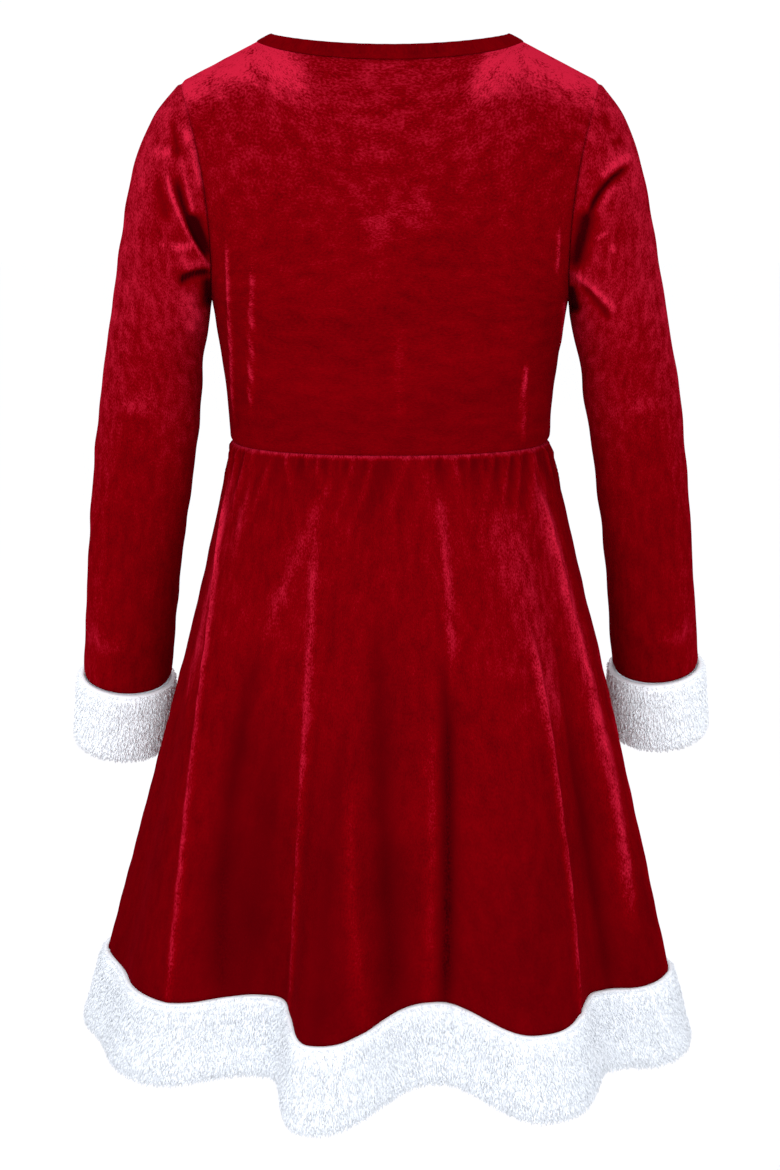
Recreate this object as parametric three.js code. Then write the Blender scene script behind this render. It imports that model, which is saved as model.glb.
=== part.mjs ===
// A girl's long-sleeved velvet costume dress with plush cuffs and a plush hem band,
// standing filled out as if worn, with nobody in it. Every piece of cloth is a thin
// closed wall: two bodice panels, a neck binding, two sleeves, two cuffs, two gathered
// skirt panels and two hem bands. Millimetres, +Z up, front towards -Y. The origin is
// the middle of the neck opening, level with the inner ends of the shoulder seams.
import * as THREE from "three";

// Cloth
const VELVET = 1.5; // thickness of the velvet wall
const PLUSH_BACKING = 1.5; // knitted backing, on the inside of a plush band
const PLUSH_PILE = 8.5; // height of the pile at the middle of a plush band
const BINDING = 2.6; // thickness of the folded neck binding
const SEAM_GAP = 0.3; // clearance left between two pieces that meet
const PILE_RISE = 0.4; // share of a plush band over which its pile rises from the seam
const PILE_ROUNDING = { height: 0.55, sharpness: 8 }; // how the pile falls at the free edge

// Neck, shoulders and armholes
const NECK_HALF_WIDTH = 95;
const NECK_BACK = { depth: 54, drop: 10.5, bend: 1.6 };
const NECK_FRONT = { depth: 66, drop: 56, bend: 1.8 };
const NECK_RISE = { front: 0.62, shoulder: 0.888 }; // how level the cloth runs past the neck edge
const BINDING_WIDTH = 12;
const BINDING_LAP = 0.86; // share of the binding's width that is folded to its full thickness
const SHOULDER_X = 151;
const SHOULDER_DROP = 29;
const UNDERARM_X = 130.5;
const UNDERARM_Z = -184;
const ARMHOLE = { backDepth: 46, frontDepth: 44, backBow: 9, frontBow: 13 };
const ARMHOLE_WAY = { outwards: 0.2, atShoulder: 0.4, up: 0.8 }; // how the cloth faces there
const UNDERARM_TURN = { from: 100, to: 150 }; // turns over which it starts to face its own way
const BOW_END = 0.3; // share of the sleeve by which the armhole's bow has gone

// Waist and hem
const WAIST_Z = -289;
const HEM_BAND_WIDTH = 59;
const CUFF_WIDTH = 56;

// Bodice below the armholes: one row a level, upwards from the waist seam.
const BODICE_SIDE = [
  { z: WAIST_Z, halfWidth: 118 },
  { z: -262, halfWidth: 119.5 },
  { z: -225, halfWidth: 124 },
  { z: UNDERARM_Z, halfWidth: UNDERARM_X },
];

// Middle line of each bodice panel: how far the cloth stands behind or before the side seams.
const BACK_PROFILE = [
  { level: 0, z: WAIST_Z, depth: 76 },
  { level: 0.2, z: -243, depth: 80 },
  { level: 0.4, z: -190, depth: 84 },
  { level: 0.7, z: -106, depth: 82 },
];
const FRONT_PROFILE = [
  { level: 0, z: WAIST_Z, depth: 84 },
  { level: 0.2, z: -243, depth: 86 },
  { level: 0.4, z: -192, depth: 88 },
  { level: 0.7, z: -124, depth: 84 },
];
const UNDERARM_LEVEL = 0.4; // share of a bodice panel's height below the armhole
const BLADE_LEVEL = 0.7; // above this level the panel rounds over to the shoulder
const NECK_SHARE = 2 / 3; // share of a panel's half width that ends on the neck edge
const SQUARENESS = 0.045; // how much fuller than an ellipse the chest is
const ARC_ROUNDS = 12; // rounds in which an arc's end is found
const SMALL_STEP = 0.01; // step in level that gives the slope at the shoulder blades

// Sleeve: one row a ring, from the armhole to the cuff seam. The outer and inner points are
// the ring's ends seen from behind; "back" and "front" are its half depths, "forward" is how
// far its middle has come forward, and "lean" is the ring's tilt as the forearm comes forward.
const SLEEVE = [
  { at: 0, outerX: 151, outerZ: -29, innerX: 130.5, innerZ: -184, back: 46, front: 44, forward: 0, lean: 0 },
  { at: 0.08, outerX: 171, outerZ: -54, innerX: 131.2, innerZ: -189, back: 46, front: 43, forward: 0, lean: 0 },
  { at: 0.16, outerX: 185.5, outerZ: -88, innerX: 132, innerZ: -196, back: 44, front: 42, forward: 0, lean: 0 },
  { at: 0.25, outerX: 194, outerZ: -127, innerX: 134, innerZ: -209, back: 42, front: 40, forward: 0, lean: 0 },
  { at: 0.36, outerX: 201, outerZ: -172, innerX: 137.5, innerZ: -231, back: 40, front: 38, forward: 0, lean: 0 },
  { at: 0.5, outerX: 209, outerZ: -222, innerX: 139.5, innerZ: -262, back: 38, front: 37, forward: 1, lean: 2 },
  { at: 0.66, outerX: 219, outerZ: -291, innerX: 146, innerZ: -312, back: 36, front: 35, forward: 9, lean: 9 },
  { at: 0.83, outerX: 229, outerZ: -377, innerX: 158.5, innerZ: -388, back: 33, front: 33, forward: 31, lean: 15 },
  { at: 1, outerX: 238.5, outerZ: -481, innerX: 170.5, innerZ: -485, back: 32, front: 31, forward: 56, lean: 16 },
];

// The right sleeve is cut as the mirror image of the left, and hangs a little closer at the
// elbow, slimmer along the forearm and higher at the cuff.
const RIGHT_SLEEVE_HANG = [
  { at: 0, outerIn: 0, innerOut: 0, up: 0 },
  { at: 0.2, outerIn: 3.5, innerOut: 0, up: 0 },
  { at: 0.45, outerIn: 1.5, innerOut: 3, up: 2 },
  { at: 0.63, outerIn: 0, innerOut: 6, up: 4 },
  { at: 0.83, outerIn: 0, innerOut: 4.5, up: 6.5 },
  { at: 1, outerIn: -1.5, innerOut: 2.5, up: 8.5 },
];

// Skirt without its folds: one row a level, downwards from the waist seam. "right" is how
// far the ring's middle has swung to the wearer's right.
const SKIRT = [
  { drop: 0, z: WAIST_Z, halfWidth: 118, back: 76, front: 84, right: 0 },
  { drop: 0.12, z: -337, halfWidth: 128, back: 84, front: 91, right: 1.5 },
  { drop: 0.33, z: -420, halfWidth: 144.5, back: 96, front: 102, right: 2 },
  { drop: 0.66, z: -552, halfWidth: 172, back: 113, front: 118, right: 1 },
  { drop: 1, z: -688, halfWidth: 200, back: 129, front: 134, right: 0 },
];

// Large folds of the skirt, round from the wearer's left side (0) by way of the back (90).
// "reach" is the crest's height at the hem over the troughs, "toLeft" and "toRight" its half
// widths in degrees on the two sides, "dip" how much lower the hem hangs there, "from" the
// share of the skirt's length at which the fold begins, and "lean" how far its crest leans
// over towards the lower angles.
const FOLDS = [
  { angle: 34, reach: 32, toLeft: 27, toRight: 17, dip: 9, from: 0.02, lean: 0 },
  { angle: 77.5, reach: 45, toLeft: 9.5, toRight: 12.5, dip: 18, from: 0.12, lean: 7 },
  { angle: 121, reach: 42, toLeft: 12.5, toRight: 15.5, dip: 17, from: 0.06, lean: 0 },
  { angle: 152, reach: 4, toLeft: 14, toRight: 14, dip: 10, from: 0.3, lean: 0 },
  { angle: 174, reach: 32, toLeft: 18, toRight: 15, dip: 9, from: 0, lean: 0 },
  { angle: 216, reach: 38, toLeft: 13, toRight: 15, dip: 8, from: 0.08, lean: 3 },
  { angle: 262, reach: 42, toLeft: 15, toRight: 13, dip: 12, from: 0.05, lean: -4 },
  { angle: 308, reach: 36, toLeft: 14, toRight: 15, dip: 9, from: 0.1, lean: 0 },
  { angle: 351, reach: 35, toLeft: 13, toRight: 18, dip: 0, from: 0, lean: 0 },
];
const TROUGH = 17; // how far the troughs fall inside the plain skirt at the hem
const FOLD_SHARPNESS = 2.6;
const FOLD_GROWTH = 1.15; // how steeply a fold grows down the skirt
const BELOW_SEAM = { trough: 1.1, fold: 1.15, dip: 1.1 }; // most that each grows past the hem seam
const SKIRT_LENGTH = WAIST_Z - SKIRT[SKIRT.length - 1].z;
const SIDE_INSET = 0.07; // degrees between a skirt panel's edge and the side seam
const BAND_INSET = 1.2; // seam gaps down the slope between the skirt and its band

// Gathers below the waist seam
const GATHERS = 34; // round the whole waist
const GATHER_HEIGHT = 2.4;
const GATHER_LENGTH = 75;
const GATHER_FADE = { top: 9, bottom: 15 }; // where they reach full height and start to fade

// How finely each piece is drawn
const GRID = {
  bodiceHalf: 12,
  bodiceSide: 4,
  bodiceArmhole: 12,
  sleeveRound: 24,
  sleeveLong: 15,
  cuffLong: 4,
  skirtBack: 80,
  skirtFront: 66,
  hemLong: 4,
  neckRound: 32,
};
const RING_SPACING = 1.15; // sleeve rings stand closer together towards the armhole
const SKIRT_LEVELS = [0, 0.02, 0.05, 0.1, 0.17, 0.27, 0.39, 0.52, 0.64, 0.76, 0.88, 1];

const RED_VELVET = { color: 0x8f0512, roughness: 0.75, metalness: 0 };
const WHITE_PLUSH = { color: 0xf1f4f8, roughness: 0.95, metalness: 0 };

const V = (x, y, z) => new THREE.Vector3(x, y, z);
const rad = THREE.MathUtils.degToRad;
const mix = (a, b, s) => a + (b - a) * s;
const ease = (from, to, x) => THREE.MathUtils.smoothstep(x, from, to);

// Smooth value of one column of a table at a place along its key column.
function column(rows, key, name, at) {
  let i = 0;
  while (i < rows.length - 2 && at > rows[i + 1][key]) i++;
  const slope = (a, b) => (b[name] - a[name]) / (b[key] - a[key]);
  const tangent = (k) => {
    if (k === 0) return slope(rows[0], rows[1]);
    if (k === rows.length - 1) return slope(rows[k - 1], rows[k]);
    const before = slope(rows[k - 1], rows[k]);
    const after = slope(rows[k], rows[k + 1]);
    return before * after <= 0 ? 0 : (2 * before * after) / (before + after);
  };
  const a = rows[i];
  const b = rows[i + 1];
  const span = b[key] - a[key];
  const s = (at - a[key]) / span;
  if (s <= 0) return a[name] + tangent(i) * (at - a[key]);
  if (s >= 1) return b[name] + tangent(i + 1) * (at - b[key]);
  const h = s * s * (3 - 2 * s);
  return (
    mix(a[name], b[name], h) +
    span * s * (1 - s) * ((1 - s) * tangent(i) - s * tangent(i + 1))
  );
}

// Outward normal of a surface at (u, v), from small steps that stay inside 0 to 1 where asked.
function normalOf(surface, u, v, outwards, clampU = true, clampV = true) {
  const e = 1e-3;
  const inside = (x, clamp) => (clamp ? Math.min(1, Math.max(0, x)) : x);
  const du = surface(inside(u + e, clampU), v).sub(surface(inside(u - e, clampU), v));
  const dv = surface(u, inside(v + e, clampV)).sub(surface(u, inside(v - e, clampV)));
  const n = du.cross(dv).normalize();
  return n.dot(outwards) < 0 ? n.negate() : n;
}

// A closed solid between an outer and an inner grid of points, grid[i][j]. With "round" the
// first index runs round and joins up with itself.
function solidBetween(outer, inner, round) {
  const across = outer.length;
  const along = outer[0].length;
  const points = [...outer.flat(), ...inner.flat()];
  const half = across * along;
  const outerAt = (i, j) => (i % across) * along + j;
  const innerAt = (i, j) => half + outerAt(i, j);
  const faces = [];
  const quad = (a, b, c, d) => {
    const straight = points[a].distanceTo(points[c]) <= points[b].distanceTo(points[d]);
    faces.push(...(straight ? [a, b, c, a, c, d] : [a, b, d, b, c, d]));
  };
  const last = round ? across : across - 1;
  for (let i = 0; i < last; i++) {
    for (let j = 0; j < along - 1; j++) {
      quad(outerAt(i, j), outerAt(i + 1, j), outerAt(i + 1, j + 1), outerAt(i, j + 1));
      quad(innerAt(i, j), innerAt(i, j + 1), innerAt(i + 1, j + 1), innerAt(i + 1, j));
    }
    quad(outerAt(i, 0), innerAt(i, 0), innerAt(i + 1, 0), outerAt(i + 1, 0));
    const end = along - 1;
    quad(outerAt(i, end), outerAt(i + 1, end), innerAt(i + 1, end), innerAt(i, end));
  }
  if (!round) {
    for (let j = 0; j < along - 1; j++) {
      const end = across - 1;
      quad(outerAt(0, j), outerAt(0, j + 1), innerAt(0, j + 1), innerAt(0, j));
      quad(outerAt(end, j), innerAt(end, j), innerAt(end, j + 1), outerAt(end, j + 1));
    }
  }
  const geometry = new THREE.BufferGeometry().setFromPoints(points);
  geometry.setIndex(volumeOf(points, faces) > 0 ? faces : faces.reverse());
  return geometry;
}

function volumeOf(points, faces) {
  let sum = 0;
  for (let k = 0; k < faces.length; k += 3) {
    const [a, b, c] = [points[faces[k]], points[faces[k + 1]], points[faces[k + 2]]];
    sum += a.dot(b.clone().cross(c)) / 6;
  }
  return sum;
}

function piece(name, geometry, cloth) {
  geometry.computeVertexNormals();
  const mesh = new THREE.Mesh(geometry, new THREE.MeshStandardMaterial(cloth));
  mesh.name = name;
  return mesh;
}

// Armhole of the wearer's left side. turn: 0 at the shoulder, 90 at the back, 180 underarm,
// 270 at the front.
function armhole(turn) {
  const c = Math.cos(rad(turn));
  const s = Math.sin(rad(turn));
  const bow = s > 0 ? ARMHOLE.backBow : ARMHOLE.frontBow;
  return V(
    mix(UNDERARM_X, SHOULDER_X, (c + 1) / 2) - bow * s * s,
    s * (s > 0 ? ARMHOLE.backDepth : ARMHOLE.frontDepth),
    mix(UNDERARM_Z, -SHOULDER_DROP, (c + 1) / 2),
  );
}

// Direction of the cloth's thickness where bodice and sleeve meet, away from the underarm.
function armholeOutwards(turn) {
  const c = Math.cos(rad(turn));
  const x = ARMHOLE_WAY.outwards + ARMHOLE_WAY.atShoulder * Math.max(0, c);
  return V(x, Math.sin(rad(turn)), ARMHOLE_WAY.up * c).normalize();
}

// Neck edge. turn: 0 at the back, 90 at the wearer's left shoulder, 180 at the front.
function neckEdge(turn) {
  const c = Math.cos(rad(turn));
  const side = c > 0 ? NECK_BACK : NECK_FRONT;
  return V(
    NECK_HALF_WIDTH * Math.sin(rad(turn)),
    c * side.depth,
    -side.drop * Math.abs(c) ** side.bend,
  );
}

function neckAlong(turn) {
  return neckEdge(turn + 0.5).sub(neckEdge(turn - 0.5)).normalize();
}

// Direction in which the cloth runs on past the neck edge: up and towards the neck.
function neckInwards(turn) {
  const s = Math.sin(rad(turn));
  const inwards = mix(NECK_RISE.front, NECK_RISE.shoulder, s * s);
  const rise = Math.sqrt(1 - inwards * inwards);
  const plain = V(-s * inwards, -Math.cos(rad(turn)) * inwards, rise);
  const along = neckAlong(turn);
  return plain.addScaledVector(along, -plain.dot(along)).normalize();
}

function neckOutwards(turn) {
  return neckInwards(turn).cross(neckAlong(turn)).normalize();
}

// A bodice panel, back (side 1) or front (side -1). across runs from -1 at the wearer's right
// edge to 1 at the left, level from 0 at the waist to 1 at the neck and shoulder.
function bodice(side) {
  const profile = side > 0 ? BACK_PROFILE : FRONT_PROFILE;
  const centreTurn = side > 0 ? 0 : 180;

  function edge(level) {
    if (level <= UNDERARM_LEVEL) {
      const z = mix(WAIST_Z, UNDERARM_Z, level / UNDERARM_LEVEL);
      return V(column(BODICE_SIDE, "z", "halfWidth", z), 0, z);
    }
    const rise = (level - UNDERARM_LEVEL) / (1 - UNDERARM_LEVEL);
    const turn = 180 * (1 - rise);
    return armhole(side > 0 ? turn : 360 - turn);
  }

  // Level line of the lower panel: an arc, a little fuller than an ellipse, from the middle
  // line to the edge.
  function lower(u, level) {
    const end = edge(level);
    const depth = column(profile, "level", "depth", level);
    const middleZ = column(profile, "level", "z", level);
    const full = (angle) => 1 + SQUARENESS * Math.sin(2 * angle) ** 2;
    let stop = 0;
    for (let k = 0; k < ARC_ROUNDS; k++) {
      stop = Math.asin(Math.min(1, Math.abs(end.y) / depth / full(stop)));
    }
    const halfWidth = end.x / (Math.cos(stop) * full(stop));
    const angle = mix(Math.PI / 2, stop, u);
    return V(
      halfWidth * Math.cos(angle) * full(angle),
      side * depth * Math.sin(angle) * full(angle),
      mix(middleZ, end.z, (1 - Math.cos(Math.PI * u)) / 2),
    );
  }

  function top(u) {
    if (u <= NECK_SHARE) return neckEdge(centreTurn + (side * 90 * u) / NECK_SHARE);
    const s = (u - NECK_SHARE) / (1 - NECK_SHARE);
    return neckEdge(90).lerp(armhole(0), s);
  }

  // Direction and speed with which the cloth arrives at the top edge.
  function arrival(u, start) {
    if (u > NECK_SHARE) return V(0, (-start.y * Math.PI) / 2, 0);
    const share = u / NECK_SHARE;
    const turn = centreTurn + side * 90 * share;
    const swing = (Math.PI / 2) * ease(0, 1, share);
    const speed = mix(start.distanceTo(top(0)), (Math.abs(start.y) * Math.PI) / 2, share);
    return neckInwards(turn)
      .multiplyScalar(Math.cos(swing))
      .addScaledVector(neckAlong(turn), side * Math.sin(swing))
      .multiplyScalar(speed);
  }

  function upper(u, level) {
    const s = (level - BLADE_LEVEL) / (1 - BLADE_LEVEL);
    const start = lower(u, BLADE_LEVEL);
    const leaving = start
      .clone()
      .sub(lower(u, BLADE_LEVEL - SMALL_STEP))
      .multiplyScalar((1 - BLADE_LEVEL) / SMALL_STEP);
    const finish = top(u);
    const s2 = s * s;
    const s3 = s2 * s;
    return V(0, 0, 0)
      .addScaledVector(start, 2 * s3 - 3 * s2 + 1)
      .addScaledVector(leaving, s3 - 2 * s2 + s)
      .addScaledVector(finish, 3 * s2 - 2 * s3)
      .addScaledVector(arrival(u, start), s3 - s2);
  }

  function surface(across, level) {
    const u = Math.abs(across);
    let p = level <= BLADE_LEVEL ? lower(u, level) : upper(u, level);
    if (level > BLADE_LEVEL && u > NECK_SHARE) {
      const miss = edge(level).sub(upper(1, level));
      p = p.addScaledVector(miss, ease(NECK_SHARE, 1, u));
    }
    if (across < 0) p.x = -p.x;
    return p;
  }

  function outwards(across, level) {
    const u = Math.abs(across);
    const right = across < 0;
    let n;
    if (level === 1 && u <= NECK_SHARE) {
      n = neckOutwards(centreTurn + (side * 90 * u) / NECK_SHARE);
    } else if (level === 1) {
      n = neckOutwards(90);
    } else {
      const rough = surface(u, level).setZ(20);
      n = normalOf(surface, Math.max(u, 0.002), level, rough);
      if (u === 0) n.setX(0).normalize();
    }
    if (u === 1 && level <= UNDERARM_LEVEL) n.setY(0).normalize();
    if (u === 1 && level > UNDERARM_LEVEL) {
      const turn = 180 * (1 - (level - UNDERARM_LEVEL) / (1 - UNDERARM_LEVEL));
      const common = armholeOutwards(side > 0 ? turn : -turn);
      n.lerp(common, 1 - ease(UNDERARM_TURN.from, UNDERARM_TURN.to, turn)).normalize();
    }
    if (right) n.x = -n.x;
    return n;
  }

  return { surface, outwards };
}

function bodicePanel(name, side) {
  const { surface, outwards } = bodice(side);
  const across = [];
  for (let i = -GRID.bodiceHalf; i <= GRID.bodiceHalf; i++) across.push(i / GRID.bodiceHalf);
  const levels = [];
  for (let j = 0; j < GRID.bodiceSide; j++) {
    levels.push((UNDERARM_LEVEL * j) / GRID.bodiceSide);
  }
  for (let j = 0; j <= GRID.bodiceArmhole; j++) {
    levels.push(UNDERARM_LEVEL + ((1 - UNDERARM_LEVEL) * j) / GRID.bodiceArmhole);
  }
  const outer = across.map((a) =>
    levels.map((level) => {
      const p = surface(a, level);
      const onSideSeam = Math.abs(a) === 1 && level <= UNDERARM_LEVEL;
      const onShoulder = level === 1 && Math.abs(a) >= NECK_SHARE;
      if (onSideSeam || onShoulder) p.y += (side * SEAM_GAP) / 2;
      if (level === 0) p.z += SEAM_GAP / 2;
      return p;
    }),
  );
  const inner = across.map((a, i) =>
    levels.map((level, j) => outer[i][j].clone().addScaledVector(outwards(a, level), -VELVET)),
  );
  return piece(name, solidBetween(outer, inner, false), RED_VELVET);
}

function neckBinding() {
  const outer = [];
  const inner = [];
  for (let i = 0; i < GRID.neckRound; i++) {
    const turn = (360 * i) / GRID.neckRound;
    const seam = neckEdge(turn).addScaledVector(neckInwards(turn), SEAM_GAP);
    const edge = seam.clone().addScaledVector(neckInwards(turn), BINDING_WIDTH);
    const out = neckOutwards(turn);
    const lap = (BINDING - VELVET) / 2; // the folded strip is a little thicker on both faces
    const lapped = edge.clone().addScaledVector(neckInwards(turn), -BINDING_WIDTH * BINDING_LAP);
    outer.push([seam, lapped.addScaledVector(out, lap), edge.clone().addScaledVector(out, lap)]);
    inner.push(
      outer[i].map((p, k) => p.clone().addScaledVector(out, k ? -BINDING : -VELVET)),
    );
  }
  return piece("neck_binding", solidBetween(outer, inner, true), RED_VELVET);
}

// Sleeve of the wearer's left arm. round goes from 0 to 1 from the outer point by way of the
// back, and at from 0 at the armhole to 1 at the cuff seam, or a little past it.
function sleeve(round, at) {
  const row = (name) => column(SLEEVE, "at", name, at);
  const turn = 2 * Math.PI * round;
  const c = Math.cos(turn);
  const s = Math.sin(turn);
  const depth = s > 0 ? row("back") : row("front");
  const lean = rad(row("lean"));
  const bow = s > 0 ? ARMHOLE.backBow : ARMHOLE.frontBow;
  const bowLeft = bow * s * s * (1 - ease(0, BOW_END, at));
  return V(
    mix(row("innerX"), row("outerX"), (c + 1) / 2) - bowLeft,
    depth * s * Math.cos(lean) - row("forward"),
    mix(row("innerZ"), row("outerZ"), (c + 1) / 2) - depth * s * Math.sin(lean),
  );
}

function sleeveMiddle(at) {
  return sleeve(0, at).add(sleeve(0.5, at)).multiplyScalar(0.5);
}

function sleeveOutwards(round, at) {
  const rough = sleeve(round, at).sub(sleeveMiddle(at));
  const n = normalOf(sleeve, round, at, rough, false, true);
  if (at > 0) return n;
  const turn = 180 - Math.abs(180 - 360 * round);
  const common = armholeOutwards(360 * round);
  return n.lerp(common, 1 - ease(UNDERARM_TURN.from, UNDERARM_TURN.to, turn)).normalize();
}

// Point of the sleeve or cuff of the wearer's right arm for one of the left.
function toRight(p, round, at) {
  const row = (name) => column(RIGHT_SLEEVE_HANG, "at", name, at);
  const outside = (Math.cos(2 * Math.PI * round) + 1) / 2;
  const inwards = mix(-row("innerOut"), row("outerIn"), outside);
  return V(-(p.x - inwards), p.y, p.z + row("up"));
}

function sleevePiece(name, onRight) {
  const outer = [];
  const inner = [];
  for (let i = 0; i < GRID.sleeveRound; i++) {
    const round = i / GRID.sleeveRound;
    const line = [];
    const within = [];
    for (let j = 0; j <= GRID.sleeveLong; j++) {
      const at = (j / GRID.sleeveLong) ** RING_SPACING;
      const p = sleeve(round, at);
      if (j === 0) p.x += SEAM_GAP;
      const q = p.clone().addScaledVector(sleeveOutwards(round, at), -VELVET);
      line.push(onRight ? toRight(p, round, at) : p);
      within.push(onRight ? toRight(q, round, at) : q);
    }
    outer.push(line);
    inner.push(within);
  }
  return piece(name, solidBetween(outer, inner, true), RED_VELVET);
}

// Height of the pile over the backing across a plush band, from 0 at its seam to 1 at its edge.
function pile(across) {
  const nearSeam = ease(-0.1, PILE_RISE, across);
  const nearEdge = Math.sqrt(1 - PILE_ROUNDING.height * across ** PILE_ROUNDING.sharpness);
  return PLUSH_PILE * nearSeam * nearEdge;
}

function cuffPiece(name, onRight) {
  const axis = sleeveMiddle(1).sub(sleeveMiddle(0.95)).normalize();
  const outer = [];
  const inner = [];
  for (let i = 0; i < GRID.sleeveRound; i++) {
    const round = i / GRID.sleeveRound;
    const out = sleeveOutwards(round, 1);
    out.addScaledVector(axis, -out.dot(axis)).normalize();
    const line = [];
    const within = [];
    for (let j = 0; j <= GRID.cuffLong; j++) {
      const across = j / GRID.cuffLong;
      const p = sleeve(round, 1).addScaledVector(axis, SEAM_GAP + across * CUFF_WIDTH);
      const q = p.clone().addScaledVector(out, -PLUSH_BACKING);
      p.addScaledVector(out, pile(across));
      line.push(onRight ? toRight(p, round, 1) : p);
      within.push(onRight ? toRight(q, round, 1) : q);
    }
    outer.push(line);
    inner.push(within);
  }
  return piece(name, solidBetween(outer, inner, true), WHITE_PLUSH);
}

// Weight of each large fold at an angle round the skirt: 1 on its crest, 0 in the troughs.
function foldAt(fold, angle) {
  const away = ((angle - fold.angle + 540) % 360) - 180;
  const halfWidth = away > 0 ? fold.toRight : fold.toLeft;
  return Math.exp(-(Math.abs(away / halfWidth) ** FOLD_SHARPNESS));
}

// Skirt. angle: 0 at the wearer's left, 90 at the back. drop: 0 at the waist seam, 1 at the
// seam of the hem band, and more than 1 down the band.
function skirt(angle, drop) {
  const row = (name) => column(SKIRT, "drop", name, drop);
  const c = Math.cos(rad(angle));
  const s = Math.sin(rad(angle));
  const wide = row("halfWidth");
  const deep = s > 0 ? row("back") : row("front");
  const full = 1 + SQUARENESS * Math.sin(2 * rad(angle)) ** 2 * Math.max(0, 1 - drop);
  const out = V(c / wide, s / deep, 0).normalize();
  let reach = -TROUGH * Math.min(drop, BELOW_SEAM.trough);
  let dip = 0;
  let lean = 0;
  for (const fold of FOLDS) {
    const weight = foldAt(fold, angle);
    const grown = Math.max(0, (drop - fold.from) / (1 - fold.from)) ** FOLD_GROWTH;
    reach += fold.reach * weight * Math.min(grown, BELOW_SEAM.fold);
    dip += fold.dip * weight * Math.min(grown ** 2, BELOW_SEAM.dip);
    lean += fold.lean * weight * Math.min(grown, BELOW_SEAM.fold);
  }
  return V(c * wide * full - row("right"), s * deep * full, row("z") - dip)
    .addScaledVector(out, reach + gather(angle, WAIST_Z - row("z")))
    .addScaledVector(V(out.y, -out.x, 0), lean);
}

// Small gathers hanging from the waist seam, uneven in spacing.
function gather(angle, below) {
  if (below >= GATHER_LENGTH || below <= 0) return 0;
  const phase = rad(angle * GATHERS) + 1.3 * Math.sin(rad(5 * angle)) + Math.sin(rad(11 * angle));
  const uneven = 0.7 + 0.3 * Math.sin(rad(7 * angle + 40));
  const fade =
    ease(0, GATHER_FADE.top, below) * (1 - ease(GATHER_FADE.bottom, GATHER_LENGTH, below));
  return GATHER_HEIGHT * uneven * fade * Math.sin(phase);
}

function skirtOutwards(angle, drop) {
  const rough = V(Math.cos(rad(angle)), Math.sin(rad(angle)), 0);
  return normalOf(skirt, angle, drop, rough, false, false);
}

// Angles of a half skirt from one side seam to the other, clear of both by half a seam gap.
function skirtAngles(start, steps) {
  const angles = [];
  for (let i = 0; i <= steps; i++) {
    angles.push(mix(start + SIDE_INSET, start + 180 - SIDE_INSET, i / steps));
  }
  return angles;
}

function skirtPanel(name, start, steps) {
  const angles = skirtAngles(start, steps);
  const grid = (thickness) =>
    angles.map((angle) =>
      SKIRT_LEVELS.map((level) => {
        const drop = level === 0 ? SEAM_GAP / 2 / SKIRT_LENGTH : level;
        return skirt(angle, drop).addScaledVector(skirtOutwards(angle, drop), -thickness);
      }),
    );
  return piece(name, solidBetween(grid(0), grid(VELVET), false), RED_VELVET);
}

function hemBand(name, start, steps) {
  const first = 1 + (SEAM_GAP * BAND_INSET) / SKIRT_LENGTH;
  const last = first + HEM_BAND_WIDTH / SKIRT_LENGTH;
  const angles = skirtAngles(start, steps);
  const line = (angle, height) => {
    const points = [];
    for (let j = 0; j <= GRID.hemLong; j++) {
      const across = j / GRID.hemLong;
      const drop = mix(first, last, across);
      points.push(skirt(angle, drop).addScaledVector(skirtOutwards(angle, drop), height(across)));
    }
    return points;
  };
  const outer = angles.map((angle) => line(angle, pile));
  const inner = angles.map((angle) => line(angle, () => -PLUSH_BACKING));
  return piece(name, solidBetween(outer, inner, false), WHITE_PLUSH);
}

const dress = new THREE.Group();
dress.add(
  bodicePanel("bodice_back", 1),
  bodicePanel("bodice_front", -1),
  neckBinding(),
  sleevePiece("sleeve_left", false),
  sleevePiece("sleeve_right", true),
  cuffPiece("cuff_left", false),
  cuffPiece("cuff_right", true),
  skirtPanel("skirt_back", 0, GRID.skirtBack),
  skirtPanel("skirt_front", 180, GRID.skirtFront),
  hemBand("hem_band_back", 0, GRID.skirtBack),
  hemBand("hem_band_front", 180, GRID.skirtFront),
);
export default dress;
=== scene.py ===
"""Looks of a child's long-sleeved velvet costume dress with plush cuffs and a plush hem band.

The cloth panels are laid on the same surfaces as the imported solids, with the seams, gathers,
creases and pile that the solids leave out. The surfaces are worked out in millimetres, with
+X towards the wearer's left, +Y towards the back, +Z up and the origin at the neck.
"""

import math
from collections import namedtuple

import bmesh
import bpy
import numpy as np
from bpy.props import FloatProperty, FloatVectorProperty, IntProperty, PointerProperty
from bpy.types import Operator, Panel, PropertyGroup
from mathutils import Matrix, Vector


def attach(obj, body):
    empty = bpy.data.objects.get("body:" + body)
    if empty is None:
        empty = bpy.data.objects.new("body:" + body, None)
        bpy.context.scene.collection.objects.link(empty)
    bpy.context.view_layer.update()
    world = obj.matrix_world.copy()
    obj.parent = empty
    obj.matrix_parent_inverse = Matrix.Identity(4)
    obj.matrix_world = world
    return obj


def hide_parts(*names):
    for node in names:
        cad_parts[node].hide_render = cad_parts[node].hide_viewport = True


bl_info = {
    "name": "Velvet Costume Dress",
    "version": (1, 0, 0),
    "blender": (4, 5, 0),
    "location": "3D View > Sidebar > Dress",
    "description": "Dresses the packed solids of a velvet costume dress with cloth and plush",
    "category": "Object",
}

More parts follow.
